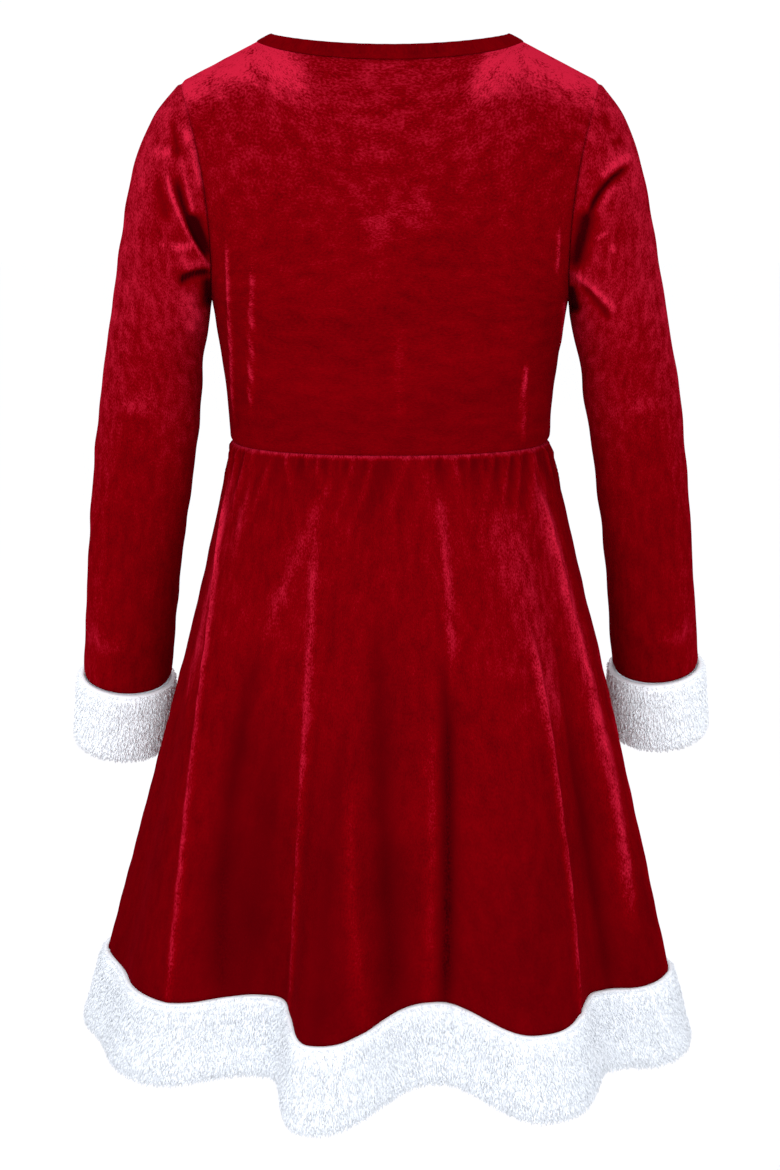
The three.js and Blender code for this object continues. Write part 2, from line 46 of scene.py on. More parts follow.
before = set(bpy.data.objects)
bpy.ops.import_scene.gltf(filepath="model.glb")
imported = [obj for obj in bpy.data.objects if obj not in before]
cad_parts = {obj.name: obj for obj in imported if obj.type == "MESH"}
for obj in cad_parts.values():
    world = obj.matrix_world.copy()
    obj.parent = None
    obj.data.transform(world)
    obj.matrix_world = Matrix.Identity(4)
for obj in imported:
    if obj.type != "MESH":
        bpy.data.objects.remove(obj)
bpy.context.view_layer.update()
MM = 0.001

# Neck, shoulders and armholes
NECK_HALF_WIDTH = 95
NeckSide = namedtuple("NeckSide", "depth drop bend")
NECK_BACK = NeckSide(54, 10.5, 1.6)
NECK_FRONT = NeckSide(66, 56, 1.8)
BINDING_WIDTH = 13
NECK_LAP = 1.2
SHOULDER_X = 151
SHOULDER_DROP = 29
UNDERARM_X = 130.5
UNDERARM_Z = -184
ARMHOLE_DEPTH = {"back": 46, "front": 44}
ARMHOLE_BOW = {"back": 9, "front": 13}

# Cloth
BINDING_THICKNESS = 2.6
HALF_CHEST = 150
BODICE_HEIGHT = 275
SHOULDER_LENGTH = 100
SLEEVE_GIRTH = 300
SLEEVE_LENGTH = 480
CUFF_GIRTH = 232
SKIRT_HALF_WIDTH = 560

# Scale of the velvet's map across and along a piece: the pressed patches lie across the
# bodice and run down the sleeves and the skirt.
GRAIN_ACROSS = (0.8, 1.4)
GRAIN_DOWN = (1.35, 0.75)

# Reach of a seam in millimetres: where the cloth turns into it, lies flat beside it and rolls in
SEAM_TURN = 4
SEAM_FLAT = 4.5
SEAM_ROLL = 2.2
OUT_OF_REACH = 1e3

# Tufts: how deep their roots stand in the pile body, in millimetres. The cuffs face away from
# the lights, so their tufts take less of the tips' greyer colour.
ROOT_DEPTH = 0.8
CUFF_TIP_SHADE = 0.1

# Small puckers along the neck binding
PUCKERS = 47
PUCKER_HEIGHT = 0.08

# Stage, in metres, millimetres of lens and sensor, and watts
FLOOR_Z = -1.3
CAMERA_PLACE = (0, 1.9, 0.022)
CAMERA_TARGET = (0, 0, -0.4)
CAMERA_LENS = 79.75
SENSOR_HEIGHT = 36
WORLD_COLOUR = (1, 1.005, 1.04, 1)
WORLD_LIGHT = 1.02
Lamp = namedtuple("Lamp", "name place target size power")
LAMPS = [
    Lamp("Key light", (1.5, 1.7, 1.2), (0, 0, -0.35), 1.0, 14),
    Lamp("Fill light", (-0.9, 2.4, 0.2), (0, 0, -0.45), 1.6, 5),
    Lamp("Low light", (0, 1.9, -1.15), (0, 0, -0.5), 1.2, 14),
]

# Waist and hem
WAIST_Z = -289
HEM_Z = -688
HEM_BAND_WIDTH = 59
CUFF_WIDTH = 56

# Bodice: the half width at its side seams, and the depth in the middle of its back and front
SideSeam = namedtuple("SideSeam", "z half_width")
BODICE_SIDE = [
    SideSeam(WAIST_Z, 118),
    SideSeam(-262, 119.5),
    SideSeam(-225, 124),
    SideSeam(UNDERARM_Z, UNDERARM_X),
]
Profile = namedtuple("Profile", "level z depth")
BACK_PROFILE = [
    Profile(0, WAIST_Z, 76),
    Profile(0.2, -243, 80),
    Profile(0.4, -190, 84),
    Profile(0.7, -106, 82),
]
FRONT_PROFILE = [
    Profile(0, WAIST_Z, 84),
    Profile(0.2, -243, 86),
    Profile(0.4, -192, 88),
    Profile(0.7, -124, 84),
]
UNDERARM_LEVEL = 0.4
BLADE_LEVEL = 0.7
NECK_SHARE = 2 / 3
SQUARENESS = 0.045

# Sleeve rings, from the armhole to the cuff seam
Ring = namedtuple("Ring", "at outer_x outer_z inner_x inner_z back front forward lean")
SLEEVE = [
    Ring(0, 151, -29, 130.5, -184, 46, 44, 0, 0),
    Ring(0.08, 171, -54, 131.2, -189, 46, 43, 0, 0),
    Ring(0.16, 185.5, -88, 132, -196, 44, 42, 0, 0),
    Ring(0.25, 194, -127, 134, -209, 42, 40, 0, 0),
    Ring(0.36, 201, -172, 137.5, -231, 40, 38, 0, 0),
    Ring(0.5, 209, -222, 139.5, -262, 38, 37, 1, 2),
    Ring(0.66, 219, -291, 146, -312, 36, 35, 9, 9),
    Ring(0.83, 229, -377, 158.5, -388, 33, 33, 31, 15),
    Ring(1, 238.5, -481, 170.5, -485, 32, 31, 56, 16),
]

# How the right sleeve hangs otherwise: its outer edge in, its inner edge out, and all of it up
Hang = namedtuple("Hang", "at outer_in inner_out up")
RIGHT_SLEEVE_HANG = [
    Hang(0, 0, 0, 0),
    Hang(0.2, 3.5, 0, 0),
    Hang(0.45, 1.5, 3, 2),
    Hang(0.63, 0, 6, 4),
    Hang(0.83, 0, 4.5, 6.5),
    Hang(1, -1.5, 2.5, 8.5),
]

# Skirt rings, from the waist seam to the hem band
SkirtRing = namedtuple("SkirtRing", "drop z half_width back front right")
SKIRT = [
    SkirtRing(0, WAIST_Z, 118, 76, 84, 0),
    SkirtRing(0.12, -337, 128, 84, 91, 1.5),
    SkirtRing(0.33, -420, 144.5, 96, 102, 2),
    SkirtRing(0.66, -552, 172, 113, 118, 1),
    SkirtRing(1, HEM_Z, 200, 129, 134, 0),
]

# Large folds of the skirt: the angle of each one, how far it stands out, its half widths in
# degrees, how far its hem dips, the share of the length where it starts and how far it leans.
Fold = namedtuple("Fold", "angle reach to_left to_right dip start lean")
FOLDS = [
    Fold(34, 32, 27, 17, 9, 0.02, 0),
    Fold(77.5, 45, 7.8, 12.5, 18, 0.12, 8),
    Fold(121, 42, 12.5, 15.5, 17, 0.06, 0),
    Fold(152, 4, 14, 14, 10, 0.3, 0),
    Fold(174, 32, 18, 15, 9, 0, 0),
    Fold(216, 38, 13, 15, 8, 0.08, 3),
    Fold(262, 42, 15, 13, 12, 0.05, -4),
    Fold(308, 36, 14, 15, 9, 0.1, 0),
    Fold(351, 35, 13, 18, 0, 0, 0),
]
TROUGH = 17
FOLD_SHARPNESS = 2.6
FOLD_GROWTH = 1.15
FOLD_LIMIT = 1.15
HEM_LIMIT = 1.1

# Gathers below the waist: how many there are in a full round, how far they slant in degrees
# over SLANT_RUN millimetres, how far down they reach and their share of the gathers' height.
Gather = namedtuple("Gather", "count slant length share")
GATHERS = [Gather(41, 9, 62, 0.6), Gather(29, -7, 40, 0.5), Gather(89, 3, 17, 0.6)]
SLANT_RUN = 60
SKIRT_RADII = (105, 190)

# Creases that run down the skirt: the angle where each one starts, is half way and ends,
# the shares of the skirt's length that it starts and ends at, its height (negative for a
# groove), its half width, and how much lighter its velvet is painted (or, negative, darker):
# a painted highlight on a ridge and painted shade in a groove, with the pile's own lift.
Crease = namedtuple("Crease", "begin middle end start stop height half_width brushed")
SKIRT_CREASES = [
    Crease(15, 31, 39, 0.03, 1.04, 2.4, 4, 0.6),
    Crease(67, 57, 46, 0.04, 0.4, 2.6, 8, 0.25),
    Crease(50, 47, 52, 0.28, 1.04, -3.2, 12, -0.25),
    Crease(65, 66.5, 69.5, 0.1, 1.04, 2.4, 4, 0.5),
    Crease(81, 83, 87.5, 0.5, 1.04, 1.3, 5, 0.25),
    Crease(86, 89.5, 92.5, 0.25, 1.04, -3.6, 10, -0.25),
    Crease(101, 100, 98.5, 0.45, 1.04, 1.4, 6, 0.25),
    Crease(104, 107, 104.5, 0.01, 0.5, 2.6, 4, 0.36),
    Crease(105.5, 104, 102, 0.32, 1.04, -3.4, 6, -0.5),
    Crease(126, 135, 143, 0.05, 0.55, 0.8, 26, 0.35),
    Crease(131, 135, 131.5, 0.3, 1.04, 3, 4, 0.6),
    Crease(146, 148, 151, 0.32, 1.04, -3, 11, -0.25),
    Crease(144, 160, 159, 0.02, 0.9, 3, 10, 0.7),
    Crease(175, 173, 171, 0.3, 1.04, 1.8, 7, 0.3),
    Crease(202, 205, 207, 0.05, 1.04, 2.2, 4, 0.45),
    Crease(228, 231, 234, 0.2, 1.04, -3, 10, -0.25),
    Crease(246, 250, 251, 0.08, 1.04, 2.2, 4, 0.45),
    Crease(268, 272, 275, 0.03, 1.04, 2, 7, 0.45),
    Crease(291, 288, 286, 0.3, 1.04, -3, 10, -0.25),
    Crease(303, 300, 299, 0.12, 1.04, 2.4, 4, 0.45),
    Crease(318, 322, 319, 0.1, 1.04, 2.2, 7, 0.4),
    Crease(334, 333, 332, 0.25, 1.04, -2.6, 10, -0.2),
    Crease(22, 19, 17, 0.0, 0.5, 0.8, 13, 0.45),
    Crease(38, 35, 32, 0.0, 0.22, 1.2, 7, 0.4),
    Crease(57, 56, 56, 0.45, 1.04, 0, 22, -0.2),
    Crease(78, 78, 78, 0.45, 1.04, 0, 14, -0.15),
]

# Creases of the sleeves and the bodice as bowed lines, seen straight from the back or from the
# front: the ends across and up in millimetres, how far the line bows in shares of its length,
# the crease's height (negative for a groove), its half width, and how much lighter its velvet
# is painted (or, negative, darker): a painted highlight on a ridge and painted shade in a
# groove or pocket, with the pile's own lift.
Line = namedtuple("Line", "x1 z1 x2 z2 bow height half_width brushed")
LEFT_SLEEVE_BACK = [
    Line(148, -56, 134, -102, -0.05, 1.8, 3.5, 0.6),
    Line(156, -54, 150, -82, 0, -1.6, 4, -0.5),
    Line(148, -80, 139.5, -121, 0, 1.4, 2.6, 0.5),
    Line(159, -89, 129, -158, 0.05, 3, 1.9, 1.3),
    Line(153, -93, 132, -146, 0.05, -2.6, 4.4, -0.9),
    Line(141, -120, 130, -154, 0, -4, 6, -1.4),
    Line(167, -92, 157, -128, 0.04, -1.2, 5, -0.4),
    Line(170, -77, 154, -77, 0, 0.9, 2.8, 0.5),
    Line(158, -144, 140, -142.5, 0, 1, 2.2, 1.1),
    Line(166, -140, 161, -142, 0, 0.4, 1.6, 0.6),
    Line(130, -153, 149, -158, 0, 2, 6, 0.45),
    Line(127, -163, 152, -170, 0.13, -3, 3.4, -1.4),
    Line(130, -166, 130, -190, 0, -2.4, 6, -1),
    Line(146, -176, 141, -208, 0, 0.8, 7, 0.4),
    Line(196, -262, 170, -250, 0.1, 1, 10, 0.2),
    Line(232, -440, 200, -455, 0.1, 1.1, 9, 0.2),
]
RIGHT_SLEEVE_BACK = [
    Line(-149, -95, -174, -80, -0.08, 2.4, 3.4, 1),
    Line(-173, -86, -141, -121, 0.106, -3, 3, -1.2),
    Line(-141, -116, -130, -162, 0, -3.4, 7, -1.1),
    Line(-166, -99, -147, -119, 0.1, 1, 5, 0.35),
    Line(-146, -138, -155, -133, 0, 0.8, 1.8, 1),
    Line(-156, -142, -161, -147, 0, 0.5, 2, 0.7),
    Line(-131, -161, -163, -191, -0.03, 2.4, 2.6, 0.9),
    Line(-137, -171, -159, -197, -0.03, -1.6, 3.4, -0.6),
    Line(-128, -172, -134, -194, 0, -3, 4, -1.1),
    Line(-152, -50, -158, -66, 0, -0.6, 5, -0.4),
    Line(-158, -72, -166, -68, 0, -0.6, 4, -0.4),
    Line(-196, -268, -174, -252, -0.1, 1, 10, 0.2),
    Line(-230, -435, -202, -448, -0.1, 1, 9, 0.2),
]
SLEEVE_FRONT = [
    Line(150, -60, 138, -105, -0.05, 1.8, 3.6, 0.5),
    Line(165, -88, 134, -152, 0.05, 2.4, 3, 0.7),
    Line(158, -98, 134, -144, 0.06, -2.4, 4, -0.6),
    Line(172, -150, 140, -176, 0.05, -1.8, 6, -0.35),
    Line(198, -256, 162, -272, 0.05, 1.2, 8, 0.3),
]
BODICE_BACK = [
    Line(116, -134, 114, -272, 0, 1.2, 1.4, 0.85),
    Line(97, -148, 101, -270, 0, 1, 1.4, 0.75),
    Line(-120, -130, -119, -162, 0, 0.8, 1.6, 0.7),
    Line(-126, -180, -124, -222, 0, 0.8, 1.6, 0.6),
    Line(-97, -222, -95, -284, 0, 0.9, 1.7, 0.8),
    Line(-6, -190, -5, -264, 0, 0.5, 4, 0.15),
    Line(-32, -112, 24, -130, 0, 0.2, 16, 0.22),
]
BODICE_FRONT = [
    Line(112, -142, 104, -272, 0, 1.2, 2, 0.8),
    Line(52, -178, 48, -278, 0, 0.8, 2.4, 0.5),
    Line(-46, -172, -50, -276, 0, 0.8, 2.4, 0.5),
    Line(-114, -138, -106, -270, 0, 1.2, 2, 0.8),
    Line(127, -150, 84, -178, 0.05, -1.4, 7, -0.35),
    Line(-127, -150, -84, -178, -0.05, -1.4, 7, -0.35),
]

# Cross-section of a plush band, once round: how far down the band, in shares of its width,
# and how high over the backing, in shares of the pile body's height.
Section = namedtuple("Section", "place down height")
BAND_SECTION = [
    Section(0, 0, 0),
    Section(0.04, 0.015, 0.55),
    Section(0.1, 0.08, 0.85),
    Section(0.2, 0.24, 1),
    Section(0.55, 0.9, 0.97),
    Section(0.61, 0.975, 0.8),
    Section(0.66, 1, 0.35),
    Section(0.7, 0.995, -0.2),
    Section(0.74, 0.96, -0.33),
    Section(0.97, 0.015, -0.33),
    Section(1, 0, 0),
]


def srgb(code):
    """Linear colour of an sRGB hex code such as #7A020A."""
    shares = [int(code[i : i + 2], 16) / 255 for i in (1, 3, 5)]
    return tuple(s / 12.92 if s <= 0.04045 else ((s + 0.055) / 1.055) ** 2.4 for s in shares)


def length_setting(name, description, default):
    return FloatProperty(name=name, description=description, default=default, unit="LENGTH")


def colour_setting(name, description, code):
    return FloatVectorProperty(
        name=name, description=description, subtype="COLOR", default=srgb(code)
    )


class DressSizes(PropertyGroup):
    """Sizes of the cloth and its finish, in metres"""

    velvet: length_setting("Velvet", "Thickness of the velvet", 0.0015)
    seam_roll: length_setting("Seam roll", "How far cloth rolls in at a seam", 0.0016)
    gather: length_setting("Gathers", "Height of the gathers below the waist", 0.0028)
    pile_body: length_setting("Plush body", "Height of the dense part of the pile", 0.0045)
    tuft_length: length_setting("Tuft length", "Length of one tuft of plush", 0.0062)
    tuft_width: length_setting("Tuft width", "Width of one tuft at its root", 0.00115)
    tuft_spacing: length_setting("Tuft spacing", "Distance between tufts", 0.00145)
    seed: IntProperty(name="Seed", description="Seed of the plush's unevenness", default=7)


class DressColours(PropertyGroup):
    """Colours of the cloth, the plush and the floor"""

    # The darkest and lightest velvet are the pile's own flat and raised patches and also the colours
    # of the painted shade and painted highlight that the pieces carry.
    velvet_shade: colour_setting("Velvet, pile flat", "Darkest velvet", "#300003")
    velvet: colour_setting("Velvet", "Middle velvet", "#740006")
    velvet_light: colour_setting("Velvet, pile up", "Lightest velvet", "#BE1B36")
    plush: colour_setting("Plush", "Plush at its tips", "#DAE0E8")
    plush_root: colour_setting("Plush roots", "Plush between the tufts", "#F6FAFF")
    floor: colour_setting("Floor", "Studio floor", "#FDFDFD")


# Surfaces, in millimetres


def mix(a, b, share):
    return a + (b - a) * share


def ease(start, stop, x):
    """0 before start, 1 after stop, and a smooth step between."""
    t = np.clip((x - start) / (stop - start), 0, 1)
    return t * t * (3 - 2 * t)


def points(x, y, z):
    return np.stack(np.broadcast_arrays(x, y, z), axis=-1).astype(float)


def unit(vectors):
    return vectors / np.linalg.norm(vectors, axis=-1, keepdims=True)


def column(rows, name, at):
    """Smooth value of one column of a table at places along the table's first column."""
    key = np.array([row[0] for row in rows], float)
    value = np.array([getattr(row, name) for row in rows], float)
    slope = np.diff(value) / np.diff(key)
    product = slope[:-1] * slope[1:]
    total = np.where(product > 0, slope[:-1] + slope[1:], 1)
    inner = np.where(product > 0, 2 * product / total, 0)
    tangent = np.concatenate([slope[:1], inner, slope[-1:]])
    at = np.asarray(at, float)
    i = np.clip(np.searchsorted(key, at, side="left") - 1, 0, len(key) - 2)
    span = key[i + 1] - key[i]
    s = (at - key[i]) / span
    inside = np.clip(s, 0, 1)
    step = inside * inside * (3 - 2 * inside)
    bend = inside * (1 - inside) * ((1 - inside) * tangent[i] - inside * tangent[i + 1])
    before = tangent[i] * np.minimum(s, 0) * span
    after = tangent[i + 1] * np.maximum(s - 1, 0) * span
    return mix(value[i], value[i + 1], step) + span * bend + before + after


def armhole(turn):
    """Armhole of the left side. turn is 0 at the shoulder, 90 at the back and 180 underarm."""
    c = np.cos(np.radians(turn))
    s = np.sin(np.radians(turn))
    depth = np.where(s > 0, ARMHOLE_DEPTH["back"], ARMHOLE_DEPTH["front"])
    bow = np.where(s > 0, ARMHOLE_BOW["back"], ARMHOLE_BOW["front"])
    along = (c + 1) / 2
    x = mix(UNDERARM_X, SHOULDER_X, along) - bow * s * s
    return points(x, s * depth, mix(UNDERARM_Z, -SHOULDER_DROP, along))


def armhole_outwards(turn):
    c = np.cos(np.radians(turn))
    return unit(points(0.2 + 0.4 * np.maximum(0, c), np.sin(np.radians(turn)), 0.8 * c))


def neck_edge(turn):
    """Neck edge. turn is 0 at the back, 90 at the left shoulder and 180 at the front."""
    c = np.cos(np.radians(turn))
    back = c > 0
    depth = np.where(back, NECK_BACK.depth, NECK_FRONT.depth)
    drop = np.where(back, NECK_BACK.drop, NECK_FRONT.drop)
    bend = np.where(back, NECK_BACK.bend, NECK_FRONT.bend)
    return points(NECK_HALF_WIDTH * np.sin(np.radians(turn)), c * depth, -drop * np.abs(c) ** bend)


def neck_along(turn):
    return unit(neck_edge(turn + 0.5) - neck_edge(turn - 0.5))


def neck_inwards(turn):
    s = np.sin(np.radians(turn))
    inwards = mix(0.62, 0.888, s * s)
    plain = points(-s * inwards, -np.cos(np.radians(turn)) * inwards, np.sqrt(1 - inwards**2))
    along = neck_along(turn)
    return unit(plain - along * np.sum(plain * along, axis=-1, keepdims=True))


def neck_outwards(turn):
    return unit(np.cross(neck_inwards(turn), neck_along(turn)))


def bodice(across, level, side):
    """Bodice panel, back (side 1) or front (side -1), with across from -1 to 1."""
    profile = BACK_PROFILE if side > 0 else FRONT_PROFILE
    centre = 0 if side > 0 else 180
    across, level = np.broadcast_arrays(np.asarray(across, float), np.asarray(level, float))
    u = np.abs(across)

    def edge(level):
        z = mix(WAIST_Z, UNDERARM_Z, level / UNDERARM_LEVEL)
        seam = points(column(BODICE_SIDE, "half_width", z), 0, z)
        turn = 180 * (1 - (level - UNDERARM_LEVEL) / (1 - UNDERARM_LEVEL))
        return np.where((level <= UNDERARM_LEVEL)[..., None], seam, armhole(side * turn))

    def full(angle):
        return 1 + SQUARENESS * np.sin(2 * angle) ** 2

    def lower(u, level):
        end = edge(level)
        depth = column(profile, "depth", level)
        middle_z = column(profile, "z", level)
        stop = np.zeros_like(u)
        for _ in range(12):
            stop = np.arcsin(np.minimum(1, np.abs(end[..., 1]) / depth / full(stop)))
        half_width = end[..., 0] / (np.cos(stop) * full(stop))
        angle = mix(math.pi / 2, stop, u)
        x = half_width * np.cos(angle) * full(angle)
        y = side * depth * np.sin(angle) * full(angle)
        return points(x, y, mix(middle_z, end[..., 2], (1 - np.cos(math.pi * u)) / 2))

    def top(u):
        neck = neck_edge(centre + side * 90 * np.minimum(u, NECK_SHARE) / NECK_SHARE)
        share = np.maximum(0, u - NECK_SHARE) / (1 - NECK_SHARE)
        shoulder = mix(neck_edge(90.0), armhole(0.0), share[..., None])
        return np.where((u <= NECK_SHARE)[..., None], neck, shoulder)

    def arrival(u, start):
        share = np.minimum(u / NECK_SHARE, 1)
        turn = centre + side * 90 * share
        swing = (math.pi / 2 * ease(0, 1, share))[..., None]
        reach = np.abs(start[..., 1]) * math.pi / 2
        speed = mix(np.linalg.norm(start - top(np.zeros_like(u)), axis=-1), reach, share)
        turned = neck_inwards(turn) * np.cos(swing) + neck_along(turn) * side * np.sin(swing)
        straight = points(0, -start[..., 1] * math.pi / 2, 0)
        return np.where((u > NECK_SHARE)[..., None], straight, turned * speed[..., None])

    def upper(u, level):
        s = ((level - BLADE_LEVEL) / (1 - BLADE_LEVEL))[..., None]
        step = 0.01
        blade = np.full_like(u, BLADE_LEVEL)
        start = lower(u, blade)
        leaving = (start - lower(u, blade - step)) * (1 - BLADE_LEVEL) / step
        s2, s3 = s**2, s**3
        rounded = start * (2 * s3 - 3 * s2 + 1) + leaving * (s3 - 2 * s2 + s)
        return rounded + top(u) * (3 * s2 - 2 * s3) + arrival(u, start) * (s3 - s2)

    miss = edge(level) - upper(np.ones_like(u), level)
    high = upper(u, level) + miss * ease(NECK_SHARE, 1, u)[..., None]
    place = np.where((level <= BLADE_LEVEL)[..., None], lower(u, level), high)
    place[..., 0] *= np.where(across < 0, -1, 1)
    return place


def sleeve(turns, at, right=False):
    """Sleeve. turns goes from 0 to 1 from the outer point by way of the back."""
    turns, at = np.broadcast_arrays(np.asarray(turns, float), np.asarray(at, float))
    c = np.cos(2 * math.pi * turns)
    s = np.sin(2 * math.pi * turns)
    depth = np.where(s > 0, column(SLEEVE, "back", at), column(SLEEVE, "front", at))
    bow = np.where(s > 0, ARMHOLE_BOW["back"], ARMHOLE_BOW["front"])
    lean = np.radians(column(SLEEVE, "lean", at))
    outside = (c + 1) / 2
    x = mix(column(SLEEVE, "inner_x", at), column(SLEEVE, "outer_x", at), outside)
    x = x - bow * s * s * (1 - ease(0, 0.3, at))
    y = depth * s * np.cos(lean) - column(SLEEVE, "forward", at)
    z = mix(column(SLEEVE, "inner_z", at), column(SLEEVE, "outer_z", at), outside)
    place = points(x, y, z - depth * s * np.sin(lean))
    return to_right(place, turns, at) if right else place


def to_right(place, turns, at):
    """Point of the right arm for one of the left, slimmer at the elbow and higher at the cuff."""
    outside = (np.cos(2 * math.pi * turns) + 1) / 2
    hang = {name: column(RIGHT_SLEEVE_HANG, name, at) for name in Hang._fields[1:]}
    inwards = mix(-hang["inner_out"], hang["outer_in"], outside)
    return points(inwards - place[..., 0], place[..., 1], place[..., 2] + hang["up"])


def sleeve_middle(at):
    return (sleeve(0.0, at) + sleeve(0.5, at)) / 2


def skirt(angle, drop):
    """Skirt. angle is 0 at the left and 90 at the back; drop is 0 at the waist and 1 at the band."""
    angle, drop = np.broadcast_arrays(np.asarray(angle, float), np.asarray(drop, float))
    c = np.cos(np.radians(angle))
    s = np.sin(np.radians(angle))
    wide = column(SKIRT, "half_width", drop)
    deep = np.where(s > 0, column(SKIRT, "back", drop), column(SKIRT, "front", drop))
    full = 1 + SQUARENESS * np.sin(2 * np.radians(angle)) ** 2 * np.maximum(0, 1 - drop)
    out = unit(points(c / wide, s / deep, 0))
    reach = -TROUGH * np.minimum(drop, HEM_LIMIT)
    dip = np.zeros_like(reach)
    lean = np.zeros_like(reach)
    for fold in FOLDS:
        away = (angle - fold.angle + 540) % 360 - 180
        half_width = np.where(away > 0, fold.to_right, fold.to_left)
        weight = np.exp(-(np.abs(away / half_width) ** FOLD_SHARPNESS))
        grown = np.maximum(0, (drop - fold.start) / (1 - fold.start)) ** FOLD_GROWTH
        reach = reach + fold.reach * weight * np.minimum(grown, FOLD_LIMIT)
        dip = dip + fold.dip * weight * np.minimum(grown**2, HEM_LIMIT)
        lean = lean + fold.lean * weight * np.minimum(grown, FOLD_LIMIT)
    x = c * wide * full - column(SKIRT, "right", drop)
    place = points(x, s * deep * full, column(SKIRT, "z", drop) - dip)
    sideways = points(out[..., 1], -out[..., 0], 0)
    return place + out * reach[..., None] + sideways * lean[..., None]


def level_way(angle):
    """Level direction at an angle, 0 to the left and 90 to the back."""
    return points(np.cos(np.radians(angle)), np.sin(np.radians(angle)), 0)


def normals(surface, u, v, facing, step=1e-3):
    """Outward unit normals of a surface, on the side that faces along facing."""
    across = surface(u + step, v) - surface(u - step, v)
    along = surface(u, v + step) - surface(u, v - step)
    normal = unit(np.cross(across, along))
    return normal * np.where(np.sum(normal * facing, axis=-1, keepdims=True) < 0, -1, 1)


def ripple(place, size):
    """Soft unevenness between -1 and 1, with waves of about the given size in millimetres."""
    total = np.zeros(place.shape[:-1])
    waves = [(1, 0.3, 0.2), (-0.4, 0.9, 0.5), (0.2, -0.7, 1), (0.8, 0.6, -0.6), (-0.9, 0.2, 0.8)]
    for k, wave in enumerate(waves):
        turn = place @ np.array(wave) * 2 * math.pi / size * (1 + 0.17 * k)
        total += np.sin(turn + 1.7 * k)
    return total / len(waves)


def near(distance, reach):
    """1 on a seam, falling to 0 beyond its reach in millimetres."""
    return np.exp(-((distance / reach) ** 2))


def crest(distance, half_width):
    """Height of a crease, from 1 on its line to 0 away from it, with a sharp top."""
    return np.exp(-np.abs(distance / half_width) ** 1.5)


def skirt_relief(angle, drop):
    """Height of the skirt's creases and gathers, and their pile lift with painted light and shade."""
    gather_height = bpy.context.scene.dress_sizes.gather / MM
    height = np.zeros_like(angle)
    brushed = np.zeros_like(angle)
    around = np.radians(1) * mix(*SKIRT_RADII, drop)
    for crease in SKIRT_CREASES:
        share = np.clip((drop - crease.start) / (crease.stop - crease.start), 0, 1)
        bend = crease.middle - (crease.begin + crease.end) / 2
        line = mix(crease.begin, crease.end, share) + 4 * bend * share * (1 - share)
        shape = crest((angle - line) * around, crease.half_width * mix(0.6, 1, drop))
        fade = ease(crease.start - 0.02, crease.start + 0.12, drop)
        fade = fade * (1 - ease(crease.stop - 0.12, crease.stop + 0.03, drop))
        height += crease.height * shape * fade
        brushed += crease.brushed * crest((angle - line) * around, crease.half_width * 0.8) * fade
    below = drop * (WAIST_Z - HEM_Z)
    for gather in GATHERS:
        place = angle + gather.slant * below / SLANT_RUN
        phase = np.radians(place * gather.count)
        phase = phase + 1.6 * np.sin(np.radians(5 * place)) + 1.1 * np.sin(np.radians(13 * place + 50))
        wave = 1 - 2 * np.abs(np.sin(phase / 2)) ** 0.8
        uneven = 0.55 + 0.45 * np.sin(np.radians(7 * place + 40 * gather.count))
        fade = ease(0, 3, below) * (1 - ease(gather.length * 0.3, gather.length, below))
        height += gather_height * gather.share * uneven * wave * fade
        # The gathers' ridges get a painted highlight and their hollows painted shade.
        brushed += 0.35 * gather.share * uneven * wave * fade
    # A painted highlight runs along the skirt just below the waist seam.
    brushed += 0.9 * near(below, 1.8)
    return np.stack([height, brushed])


def line_relief(lines, x, z):
    """Height of a panel's creases and their pile lift with painted light and shade, at places across
    and up in millimetres.
    """
    height = np.zeros_like(x)
    brushed = np.zeros_like(x)
    for line in lines:
        dx, dz = line.x2 - line.x1, line.z2 - line.z1
        length = math.hypot(dx, dz)
        px, pz = x - line.x1, z - line.z1
        share = (px * dx + pz * dz) / length**2
        bow = line.bow * length * 4 * np.clip(share * (1 - share), 0, 1)
        away = (px * dz - pz * dx) / length + bow
        fade = ease(-0.05, 0.2, share) * (1 - ease(0.78, 1.05, share))
        height += line.height * crest(away, line.half_width) * fade
        brushed += line.brushed * crest(away, line.half_width * 0.8) * fade
    return np.stack([height, brushed])


# Meshes


def edge_dense(share, density=0.7):
    """Spreads even shares so that they lie closer together near 0 and 1."""
    return share - density * np.sin(2 * math.pi * share) / (2 * math.pi)


def cloth_grid(across, along):
    """A flat grid, with the two shares from 0 to 1 of each vertex across and along it."""
    bm = bmesh.new()
    bmesh.ops.create_grid(bm, x_segments=across, y_segments=along, size=0.5)
    flat = np.array([vert.co[:] for vert in bm.verts])
    return bm, flat[:, 0] + 0.5, flat[:, 1] + 0.5


def lay_out(bm, place, brushed, shares, cut):
    """Moves a grid's vertices to their places in millimetres.

    The UV map holds each vertex's place on the cut cloth: its shares across and along the
    piece times the size of the cut in metres.
    """
    layer = bm.verts.layers.float.new("brushed")
    for vert, spot, value in zip(bm.verts, place * MM, brushed):
        vert.co = spot
        vert[layer] = value
    bm.verts.index_update()
    cut_layer = bm.loops.layers.uv.new("cut")
    spread = np.stack(shares, axis=-1) * cut
    for face in bm.faces:
        for loop in face.loops:
            loop[cut_layer].uv = spread[loop.vert.index]
    bmesh.ops.remove_doubles(bm, verts=bm.verts, dist=1e-5)


def face_outwards(bm, middle):
    """Turns the faces so that the first one faces away from a point inside the dress."""
    bm.normal_update()
    bm.faces.ensure_lookup_table()
    face = bm.faces[0]
    away = face.calc_center_median() - Vector(middle) * MM
    if face.normal.dot(away) < 0:
        bmesh.ops.reverse_faces(bm, faces=bm.faces)


